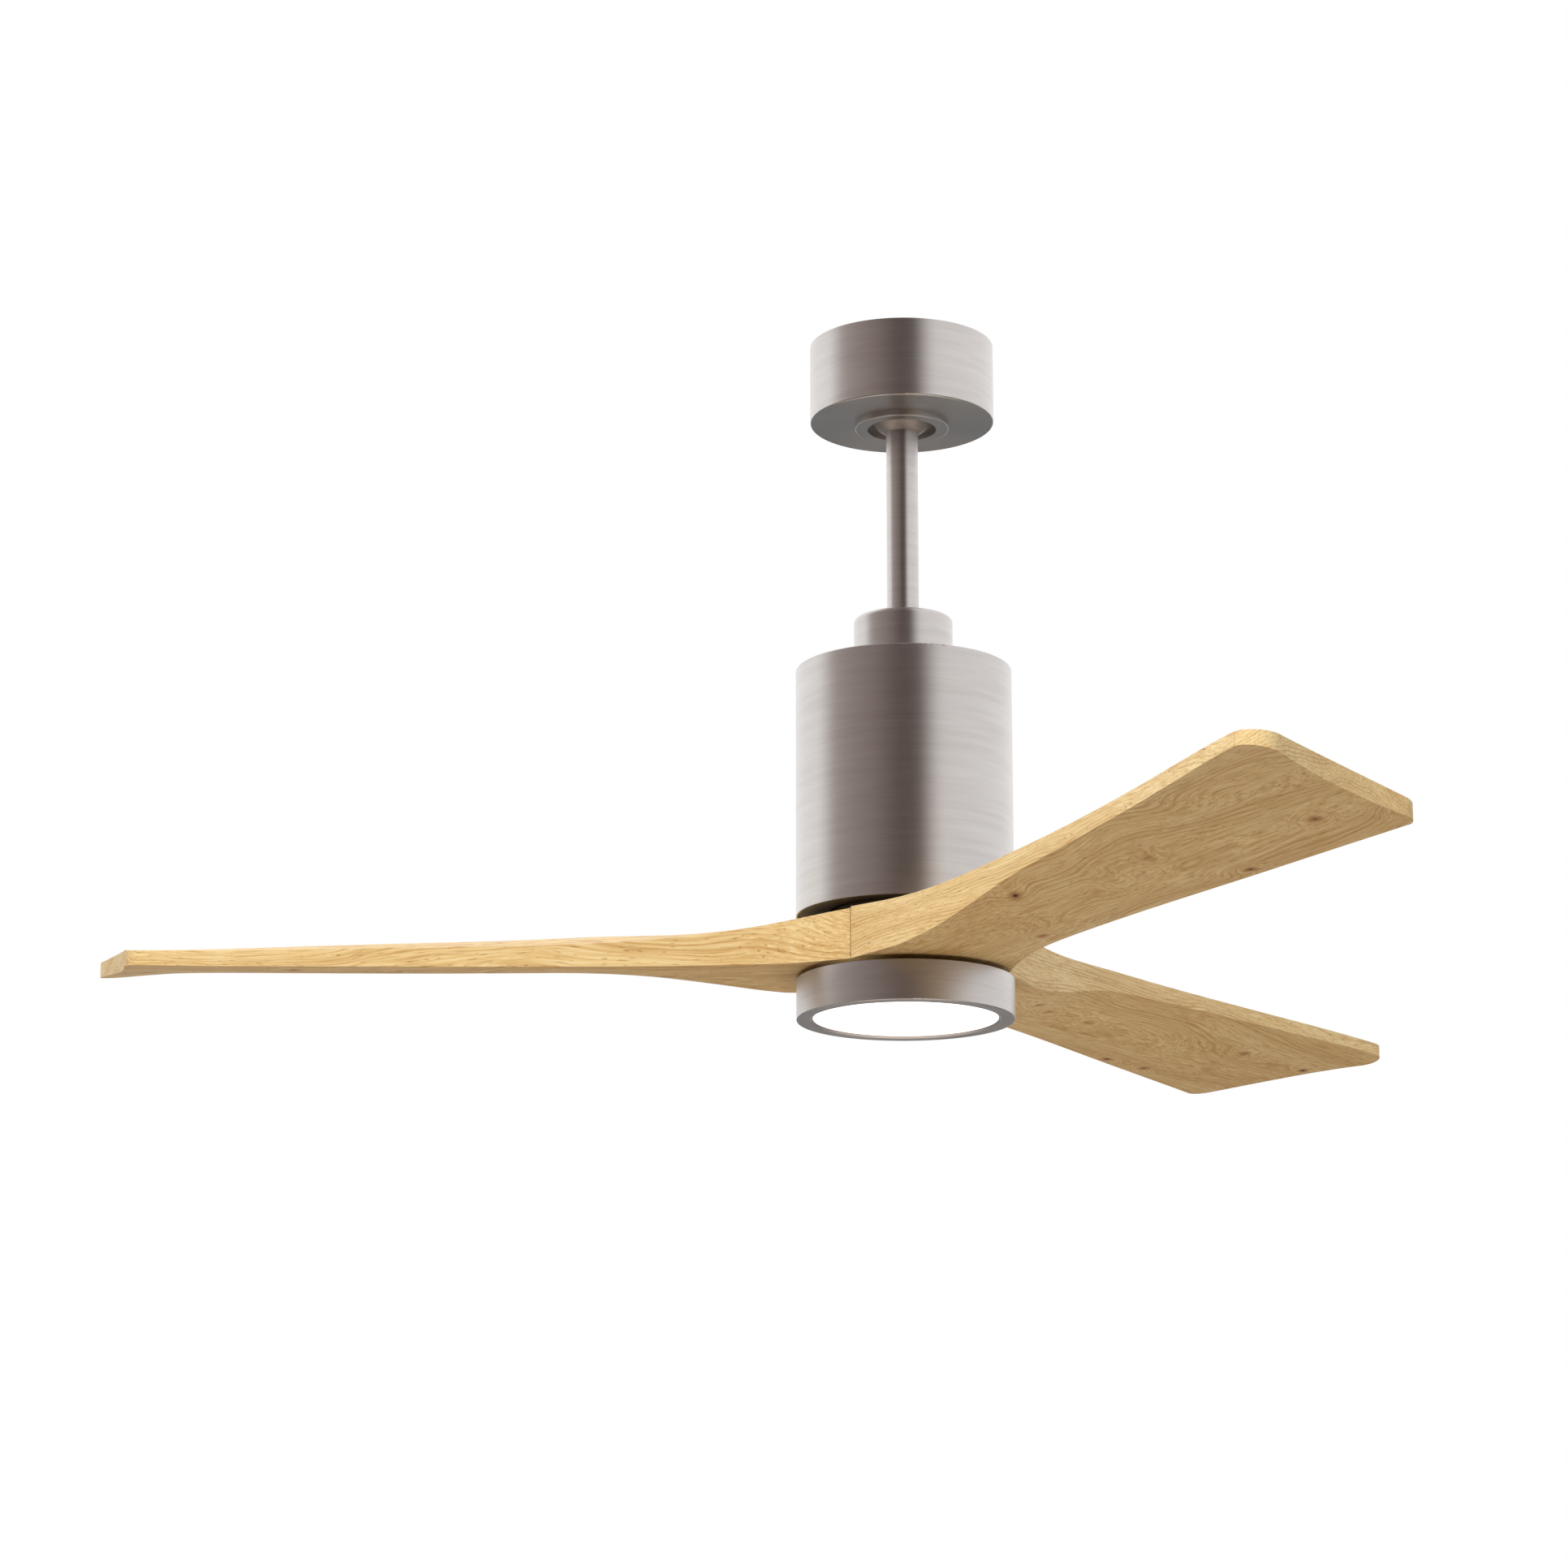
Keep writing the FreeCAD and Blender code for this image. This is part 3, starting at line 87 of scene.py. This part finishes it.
def blend(f, under, values, links):
    """Colour mix over a colour; values and links fill its other inputs."""
    mix = f.add("ShaderNodeMix", {"A": under, **links}, values, data_type="RGBA")
    return mix.outputs["Result"]


# ---------------------------------------------------------------- finishes

def brushed_pewter(name, rough, stretch=0.65):
    """Pewter plate over steel, brushed round and round, under a thin clear lacquer.

    The brush lines run level round the fan's axis, so reflections stretch up and down and
    the faces show soft upright bands with fine level streaks.
    """
    f = Finish(name)
    place = f.add("ShaderNodeTexCoord").outputs["Object"]
    # Brush lines are 0.1 to 0.3 mm apart on the real plate; drawn near 0.9 mm so that they show.
    fine = 1 / (0.9 * MM)
    level = f.add("ShaderNodeMapping", {"Vector": place}, {"Scale": (0.02 * fine, 0.02 * fine, fine)})
    lines = f.add("ShaderNodeTexNoise", {"Vector": level},
                  {"Scale": 1.0, "Detail": 3.0, "Roughness": 0.6})
    # One pass of the belt leaves a fainter band about 6 mm high.
    wide = 1 / (6 * MM)
    low = f.add("ShaderNodeMapping", {"Vector": place}, {"Scale": (0.08 * wide, 0.08 * wide, wide)})
    passes = f.add("ShaderNodeTexNoise", {"Vector": low}, {"Scale": 1.0, "Detail": 2.0})
    both = f.add("ShaderNodeMath", {0: lines, 1: passes}, operation="ADD")
    half = f.add("ShaderNodeMath", {0: both}, {1: 0.5}, operation="MULTIPLY")
    tone = f.add("ShaderNodeValToRGB", {"Fac": half},
                 stops=((0.35, linear("c4c0be")), (0.65, linear("d0cdcb"))))
    roughness = f.add("ShaderNodeMapRange", {"Value": lines},
                      {"From Min": 0.3, "From Max": 0.7, "To Min": rough - 0.02,
                       "To Max": rough + 0.02})
    bump = f.add("ShaderNodeBump", {"Height": lines}, {"Strength": 0.04, "Distance": 0.1 * MM})
    around = f.add("ShaderNodeTangent", direction_type="RADIAL", axis="Z")
    shader = f.add("ShaderNodeBsdfPrincipled",
                   {"Base Color": tone, "Roughness": roughness, "Normal": bump, "Tangent": around},
                   {"Metallic": 1.0, "Anisotropic": stretch, "Anisotropic Rotation": 0.25})
    return f.material(shader)


def knot_centres(number):
    """Places of one blade's knots in its own frame: (out, across, height) in metres.

    Each lies at a random place along and across the blade, on the sloping underside or on the
    leading edge, whose heights rise in a straight line from the trailing edge to the leading one.
    """
    random = np.random.default_rng(40 + number)
    out = np.linspace(0.16, 0.60, KNOTS) + random.uniform(-0.03, 0.03, KNOTS)
    share = random.uniform(0.05, 1.0, KNOTS)
    width = np.interp(out, (0.14, 0.22, 0.67), (0.099, 0.090, 0.165))
    across = -0.5 * width + share * width * 0.92
    low = np.interp(out, (0.14, 0.22, 0.33, 0.67), (-0.018, -0.002, 0.009, 0.004))
    height = low + (-0.019 - low) * share
    return np.stack([out, across, height], axis=1)


def board_space(f, number, turn, middle):
    """The blade's own frame, and the same moved to another part of the noise for each board."""
    place = f.add("ShaderNodeTexCoord").outputs["Object"]
    turned = f.add("ShaderNodeVectorRotate", {"Vector": place}, {"Angle": -turn},
                   rotation_type="Z_AXIS")
    along = f.add("ShaderNodeVectorMath", {0: turned}, {1: (0, 0, -middle)}, operation="ADD")
    board = f.add("ShaderNodeVectorMath", {0: along},
                  {1: (1.7 * number, 0.6 * number, 0.3 * number)}, operation="ADD")
    return along, board


def knot_field(f, along, number):
    """Distance to the nearest knot, and how strongly the knots push the grain aside."""
    nearest, eddy = None, None
    for centre in knot_centres(number):
        away = f.add("ShaderNodeVectorMath", {0: along}, {1: tuple(-centre)}, operation="ADD")
        shape = f.add("ShaderNodeVectorMath", {0: away}, {1: KNOT_SHAPE}, operation="MULTIPLY")
        gap = f.add("ShaderNodeVectorMath", {0: shape}, operation="LENGTH").outputs["Value"]
        pull = f.add("ShaderNodeMapRange", {"Value": gap},
                     {"From Min": 0.0, "From Max": KNOT_REACH, "To Min": 1.0, "To Max": 0.0},
                     interpolation_type="SMOOTHERSTEP")
        nearest = gap if nearest is None else f.add("ShaderNodeMath", {0: nearest, 1: gap},
                                                    operation="MINIMUM")
        eddy = pull if eddy is None else f.add("ShaderNodeMath", {0: eddy, 1: pull},
                                               operation="ADD")
    return nearest, eddy


def bent_radius(f, along, board, eddy):
    """Distance from the pith line, wandering slowly and pushed aside at the knots."""
    # Slow wander of the grain: bends over about 16 cm of length and 5 cm of width.
    slow = f.add("ShaderNodeMapping", {"Vector": board}, {"Scale": (1 / 0.16, 1 / 0.05, 1 / 0.05)})
    wander = f.add("ShaderNodeTexNoise", {"Vector": slow},
                   {"Scale": 1.0, "Detail": 1.5, "Roughness": 0.45})
    # The pith line lies 11 cm under the board and a little to one side.
    pith = f.add("ShaderNodeVectorMath", {0: along}, {1: (0.0, 0.015, 0.11)}, operation="ADD")
    across = f.add("ShaderNodeVectorMath", {0: pith}, {1: (0.03, 1.0, 1.0)}, operation="MULTIPLY")
    radius = f.add("ShaderNodeVectorMath", {0: across}, operation="LENGTH").outputs["Value"]
    drift = f.add("ShaderNodeMath", {0: wander, 2: radius}, {1: GRAIN_WANDER},
                  operation="MULTIPLY_ADD")
    return f.add("ShaderNodeMath", {0: eddy, 2: drift}, {1: EDDY_DEPTH}, operation="MULTIPLY_ADD")


def ring_lines(f, bent):
    """How dark the late wood is here, from none to full."""
    ring = f.add("ShaderNodeMath", {0: bent}, {1: 1 / RING_WIDTH}, operation="MULTIPLY")
    phase = f.add("ShaderNodeMath", {0: ring}, operation="FRACT")
    late = f.add("ShaderNodeValToRGB", {"Fac": phase},
                 stops=((0.0, (0.1, 0.1, 0.1, 1)), (0.5, (0.25, 0.25, 0.25, 1)),
                        (0.82, (1, 1, 1, 1)), (1.0, (0.1, 0.1, 0.1, 1))))
    # Some rings are strong and some faint: the strength changes over about 9 mm of radius.
    strength = f.add("ShaderNodeTexNoise", {"W": bent}, {"Scale": 1 / (9 * MM), "Detail": 1.0},
                     noise_dimensions="1D")
    strong = f.add("ShaderNodeMapRange", {"Value": strength},
                   {"From Min": 0.35, "From Max": 0.7, "To Min": 0.12, "To Max": 0.62})
    return f.add("ShaderNodeMath", {0: late, 1: strong}, operation="MULTIPLY")


def fibres_and_pores(f, board, bent):
    """Fine fibres along the board, and the short dark dashes of its pores."""
    reach = f.add("ShaderNodeSeparateXYZ", {"Vector": board})
    place = f.add("ShaderNodeCombineXYZ", {"X": reach.outputs["X"], "Y": bent,
                                           "Z": reach.outputs["Y"]})
    # Real fibres are 0.1 mm wide; drawn 0.8 mm wide and 60 mm long, bent with the rings.
    fibre_scale = f.add("ShaderNodeMapping", {"Vector": place},
                        {"Scale": (1 / (60 * MM), 1 / (0.8 * MM), 1 / (2.5 * MM))})
    fibre = f.add("ShaderNodeTexNoise", {"Vector": fibre_scale},
                  {"Scale": 1.0, "Detail": 4.0, "Roughness": 0.62})
    # Pores are drawn 0.9 mm wide and 9 mm long.
    dash_scale = f.add("ShaderNodeMapping", {"Vector": place},
                       {"Scale": (1 / (9 * MM), 1 / (0.9 * MM), 1 / (0.9 * MM))})
    dashes = f.add("ShaderNodeTexNoise", {"Vector": dash_scale}, {"Scale": 1.0, "Detail": 0.0})
    dash = f.add("ShaderNodeMapRange", {"Value": dashes},
                 {"From Min": 0.70, "From Max": 0.80, "To Min": 0.0, "To Max": 0.6})
    return fibre, dash


def plain_wood(f, board, fibre):
    """Pale and warm wood in broad flames, with the fibres drawn over them."""
    # A flame is 3 cm wide and 20 cm long.
    broad = f.add("ShaderNodeMapping", {"Vector": board}, {"Scale": (1 / 0.2, 1 / 0.03, 1 / 0.03)})
    flame = f.add("ShaderNodeTexNoise", {"Vector": broad}, {"Scale": 1.0, "Detail": 3.0})
    base = f.add("ShaderNodeValToRGB", {"Fac": flame},
                 stops=((0.30, linear("d3ae72")), (0.50, linear("e2c48a")),
                        (0.70, linear("efdaa5"))))
    fine = f.add("ShaderNodeValToRGB", {"Fac": fibre},
                 stops=((0.32, linear("b2864c")), (0.47, linear("debd80")),
                        (0.66, linear("f5e3b0"))))
    return blend(f, base, {"Factor": 0.6}, {"B": fine})


def knot_colour(f, nearest, wood):
    """A dark heart 4 mm across in a red-brown halo 14 mm across, drawn over the wood."""
    halo = f.add("ShaderNodeMapRange", {"Value": nearest},
                 {"From Min": 1.6 * MM, "From Max": 7.0 * MM, "To Min": 0.8, "To Max": 0.0},
                 interpolation_type="SMOOTHSTEP")
    heart = f.add("ShaderNodeMapRange", {"Value": nearest},
                  {"From Min": 1.4 * MM, "From Max": 2.6 * MM, "To Min": 1.0, "To Max": 0.0},
                  interpolation_type="SMOOTHSTEP")
    haloed = blend(f, wood, {"B": linear("a2662f")}, {"Factor": halo})
    return blend(f, haloed, {"B": linear("3f2110")}, {"Factor": heart})


def carved_oak(number, turn, middle):
    """Light oak under a satin clear coat, its grain running out along one blade.

    Growth rings about a pith line far under the board are cut at a slant by the carving, which
    gives long arches on the broad faces, straight lines on the edges and eddies at the knots.
    """
    f = Finish(f"carved_oak_blade_{number}")
    along, board = board_space(f, number, turn, middle)
    nearest, eddy = knot_field(f, along, number)
    bent = bent_radius(f, along, board, eddy)
    fibre, dash = fibres_and_pores(f, board, bent)
    wood = plain_wood(f, board, fibre)
    ringed = blend(f, wood, {"B": linear("b48347")}, {"Factor": ring_lines(f, bent)})
    pored = blend(f, ringed, {"B": linear("9a6a36")}, {"Factor": dash})
    colour = knot_colour(f, nearest, pored)
    height = f.add("ShaderNodeMath", {0: fibre, 1: dash}, operation="SUBTRACT")
    bump = f.add("ShaderNodeBump", {"Height": height}, {"Strength": 0.2, "Distance": 0.1 * MM})
    roughness = f.add("ShaderNodeMapRange", {"Value": fibre},
                      {"From Min": 0.3, "From Max": 0.7, "To Min": 0.58, "To Max": 0.48})
    shader = f.add("ShaderNodeBsdfPrincipled",
                   {"Base Color": colour, "Roughness": roughness, "Normal": bump},
                   {"IOR": 1.5, "Specular IOR Level": 0.3})
    return f.material(shader)


def opal_acrylic():
    """Opal acrylic lit from behind: an even white glow, a shade softer at its rim."""
    f = Finish("opal_acrylic_lit")
    place = f.add("ShaderNodeTexCoord").outputs["Object"]
    across = f.add("ShaderNodeVectorMath", {0: place}, {1: (1.0, 1.0, 0.0)}, operation="MULTIPLY")
    radius = f.add("ShaderNodeVectorMath", {0: across}, operation="LENGTH").outputs["Value"]
    tint = f.add("ShaderNodeValToRGB", {"Fac": f.add("ShaderNodeMath", {0: radius}, {1: 10.0},
                                                     operation="MULTIPLY")},
                 stops=((0.66, linear("ffffff")), (0.74, linear("f4f1ea"))))
    grain = f.add("ShaderNodeTexNoise", {"Vector": place}, {"Scale": 1 / (0.8 * MM)})
    bump = f.add("ShaderNodeBump", {"Height": grain}, {"Strength": 0.05, "Distance": 0.05 * MM})
    shader = f.add("ShaderNodeBsdfPrincipled", {"Emission Color": tint, "Normal": bump},
                   {"Base Color": linear("f4f4f2"), "Roughness": 0.45, "IOR": 1.49,
                    "Emission Strength": 1.5})
    return f.material(shader)


def grained(name, light, dark, rough, grain_mm, metallic=0.0, depth=0.1):
    """Surface of two close tones mottled at the size of its grain: cast, moulded or painted."""
    f = Finish(name)
    place = f.add("ShaderNodeTexCoord").outputs["Object"]
    grain = f.add("ShaderNodeTexNoise", {"Vector": place},
                  {"Scale": 1 / (grain_mm * MM), "Detail": 3.0})
    tone = f.add("ShaderNodeValToRGB", {"Fac": grain},
                 stops=((0.35, linear(dark)), (0.65, linear(light))))
    roughness = f.add("ShaderNodeMapRange", {"Value": grain},
                      {"From Min": 0.3, "From Max": 0.7, "To Min": rough - 0.05,
                       "To Max": rough + 0.06})
    bump = f.add("ShaderNodeBump", {"Height": grain}, {"Strength": depth, "Distance": 0.1 * MM})
    shader = f.add("ShaderNodeBsdfPrincipled",
                   {"Base Color": tone, "Roughness": roughness, "Normal": bump},
                   {"Metallic": metallic})
    return f.material(shader)


def dress(material, *names):
    """Put one material in every slot of the named CAD nodes."""
    for name in names:
        mesh = nodes[name].data
        if not mesh.materials:
            mesh.materials.append(material)
        for index in range(len(mesh.materials)):
            mesh.materials[index] = material


def dress_outside():
    """Finishes of what shows: metal, lens and the dark recess over the blades."""
    dress(brushed_pewter("brushed_pewter_plate", 0.34), "canopy", "canopy_ring", "downrod",
          "yoke_cover", "housing_shell")
    # The low ring is brushed more coarsely, so it mirrors less of the blades above it.
    dress(brushed_pewter("brushed_pewter_ring", 0.42, 0.3), "light_ring")
    # Pewter-coloured paint on moulded nylon: a soft sheen with a fine orange-peel grain.
    dress(grained("painted_nylon_pewter", "b0a8a4", "a39b97", 0.42, 1.2, 0.85), "hanger_ball")
    dress(opal_acrylic(), "light_lens")
    # Satin powder coat on pressed steel: the narrow gap over the blades shades it to a dark band.
    dress(grained("charcoal_powder_coat", "858180", "7a7675", 0.5, 0.8, 0.0, 0.2),
          "bottom_cover", "blade_clamp_plate", "rotor_hub", "rotor_bell")


def dress_metalwork():
    """Finishes of brackets, screws, bearings and the motor's iron, copper and magnets."""
    # Zinc plate on stamped steel and screws: blue-grey, faintly spangled.
    dress(grained("bright_zinc_plate", "b9b9b5", "9c9c98", 0.35, 2.5, 1.0),
          "hanger_bracket", "canopy_screws", "ground_screw", "ball_pin", "yoke_pin", "pin_clip",
          "yoke_set_screws", "yoke_bolts", "rotor_screws", "blade_screws", "shaft_nut",
          "pan_screws", "light_adapter")
    # Ground bearing steel: smooth, bright and nearly plain.
    dress(grained("ground_bearing_steel", "bcbec0", "a6a8aa", 0.25, 0.8, 1.0),
          "upper_bearing_inner", "upper_bearing_outer", "upper_bearing_balls",
          "lower_bearing_inner", "lower_bearing_outer", "lower_bearing_balls", "motor_shaft")
    # Die-cast aluminium: dull grey with a sandy skin.
    dress(grained("die_cast_aluminium", "9a9b9c", "828384", 0.5, 1.0, 1.0, 0.3),
          "yoke", "motor_mount")
    # Stacked electrical steel with a dark oxide skin.
    dress(grained("lamination_steel", "7a7b7d", "5f6062", 0.45, 0.5, 1.0), "stator_core")
    # Enamelled copper wire: orange-brown and glossy.
    dress(grained("enamelled_copper", "c0703f", "9a5229", 0.3, 0.9, 1.0), "stator_windings")
    # Nickel dip on sintered magnets.
    dress(grained("nickel_dipped_magnet", "77787a", "606163", 0.35, 1.5, 1.0), "rotor_magnets")


def dress_electrics():
    """Finishes of boards, boxes, posts, lamps and leads."""
    # White reflector paint on pressed steel.
    dress(grained("white_reflector_paint", "eceae5", "e0ded8", 0.55, 1.5), "light_pan")
    # Solder masks on the boards: green on the motor's, white on the lamp's.
    dress(grained("green_solder_mask", "2f6040", "27513a", 0.4, 2.0), "controller_board")
    dress(grained("white_solder_mask", "f0f0ed", "e6e6e2", 0.45, 2.0), "led_board")
    # Spark-textured black nylon cases.
    dress(grained("moulded_black_nylon", "2b2b2b", "222222", 0.5, 0.7, 0.0, 0.25),
          "board_components", "led_driver", "receiver_module")
    # Turned brass posts.
    dress(grained("turned_brass", "bfa463", "a68c4f", 0.3, 0.6, 1.0), "board_standoffs",
          "led_standoffs")
    # White polyamide terminal strip.
    dress(grained("moulded_white_polyamide", "e2e0d8", "d8d6cd", 0.45, 0.8), "terminal_block")
    # Yellow phosphor over the lamp chips.
    dress(grained("phosphor_cap", "edcf45", "dcbc35", 0.4, 0.5), "led_chips")
    # Grey vinyl sheath of the two leads.
    dress(grained("grey_vinyl_sheath", "bdbdba", "aeaeab", 0.5, 1.0), "supply_cable",
          "light_cable")


def dress_blades():
    """One board of oak for each blade."""
    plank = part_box("blade_1")
    for number in range(1, BLADE_COUNT + 1):
        turn = math.pi - BLADE_ANGLE + math.tau / BLADE_COUNT * (number - 1)
        dress(carved_oak(number, turn, (plank[0][2] + plank[1][2]) / 2), f"blade_{number}")


dress_outside()
dress_metalwork()
dress_electrics()
dress_blades()


# ---------------------------------------------------------------- stage, light and camera

FLOOR_HALF = 1.6
FLOOR_HEIGHT = -2.4
KEY_PLACE = (-1.2, -3.0, 0.9)
KEY_AIM = (0, 0, -0.5)
KEY_SIZE = 1.6
KEY_WATTS = 110
CAMERA_PLACE = (-0.0947, -3.4, -1.2148)
CAMERA_RISE = math.radians(14.08)   # how far above level it looks
CAMERA_LENS = 102.2


def floor_surface():
    """Pale floor: a flat square grid 2.4 m under the ceiling."""
    line = np.linspace(-FLOOR_HALF, FLOOR_HALF, 3)
    x, y = np.meshgrid(line, line)
    points = np.stack([x.ravel(), y.ravel(), np.full(x.size, FLOOR_HEIGHT)], axis=1)
    corner = np.array([0, 1, 3, 4])
    faces = np.stack([corner, corner + 1, corner + 4, corner + 3], axis=1)
    mesh = bpy.data.meshes.new("floor")
    mesh.from_pydata(points.tolist(), [], faces.tolist())
    floor = bpy.data.objects.new("floor", mesh)
    bpy.context.scene.collection.objects.link(floor)
    mesh.materials.append(grained("pale_floor_paint", "f8ebe0", "f3e6db", 0.8, 30))


def studio_world():
    """White studio all round, with a dark opening a little to the right of the viewer.

    Seen from the fan, brightness depends on the compass direction, so upright metal shows one
    soft dark band with a light band on each side of it. Below the horizon it falls off.
    """
    world = bpy.data.worlds.new("studio")
    bpy.context.scene.world = world
    f = Finish("", world)
    way = f.add("ShaderNodeTexCoord").outputs["Generated"]
    split = f.add("ShaderNodeSeparateXYZ", {"Vector": way})
    front = f.add("ShaderNodeMath", {0: split.outputs["Y"]}, {1: -1.0}, operation="MULTIPLY")
    compass = f.add("ShaderNodeMath", {0: split.outputs["X"], 1: front}, operation="ARCTAN2")
    share = f.add("ShaderNodeMapRange", {"Value": compass},
                  {"From Min": -math.pi, "From Max": math.pi, "To Min": 0.0, "To Max": 1.0})
    # Compass share: 0 and 1 are behind the fan, 0.25 left, 0.5 towards the viewer, 0.75 right.
    wall = f.add("ShaderNodeValToRGB", {"Fac": share},
                 stops=((0.0, linear("ffffff")), (0.215, linear("fffefd")),
                        (0.275, linear("b0a5a1")), (0.41, linear("8f827e")),
                        (0.48, linear("645855")), (0.545, linear("5f5350")),
                        (0.605, linear("f6f3f2")), (1.0, linear("ffffff"))))
    lift = f.add("ShaderNodeMapRange", {"Value": split.outputs["Z"]},
                 {"From Min": -0.16, "From Max": 0.04, "To Min": 0.18, "To Max": 1.0},
                 interpolation_type="SMOOTHSTEP")
    dimmed = f.add("ShaderNodeVectorMath", {0: wall, "Scale": lift}, operation="SCALE")
    glow = f.add("ShaderNodeBackground", {"Color": dimmed}, {"Strength": 1.2})
    white = f.add("ShaderNodeBackground", None, {"Color": (1, 1, 1, 1), "Strength": 1.0})
    path = f.add("ShaderNodeLightPath").outputs["Is Camera Ray"]
    mix = f.add("ShaderNodeMixShader", {0: path, 1: glow, 2: white})
    f.add("ShaderNodeOutputWorld", {"Surface": mix})


def soft_light(name, place, aim, size, power):
    """Square soft light that faces a point and leaves no mirror image of itself."""
    data = bpy.data.lights.new(name, "AREA")
    data.shape = "SQUARE"
    data.size = size
    data.energy = power
    light = bpy.data.objects.new(name, data)
    light.location = place
    light.rotation_euler = (Vector(aim) - Vector(place)).to_track_quat("-Z", "Y").to_euler()
    light.visible_glossy = False
    bpy.context.scene.collection.objects.link(light)


def camera():
    """Long lens below the fan, looking up at it."""
    data = bpy.data.cameras.new("camera")
    data.sensor_width = 36
    data.lens = CAMERA_LENS
    data.clip_end = 100
    view = bpy.data.objects.new("camera", data)
    view.location = CAMERA_PLACE
    view.rotation_euler = (math.pi / 2 + CAMERA_RISE, 0, 0)
    bpy.context.scene.collection.objects.link(view)
    bpy.context.scene.camera = view


floor_surface()
studio_world()
soft_light("front_key", KEY_PLACE, KEY_AIM, KEY_SIZE, KEY_WATTS)
bpy.context.scene.view_settings.view_transform = "Standard"
camera()
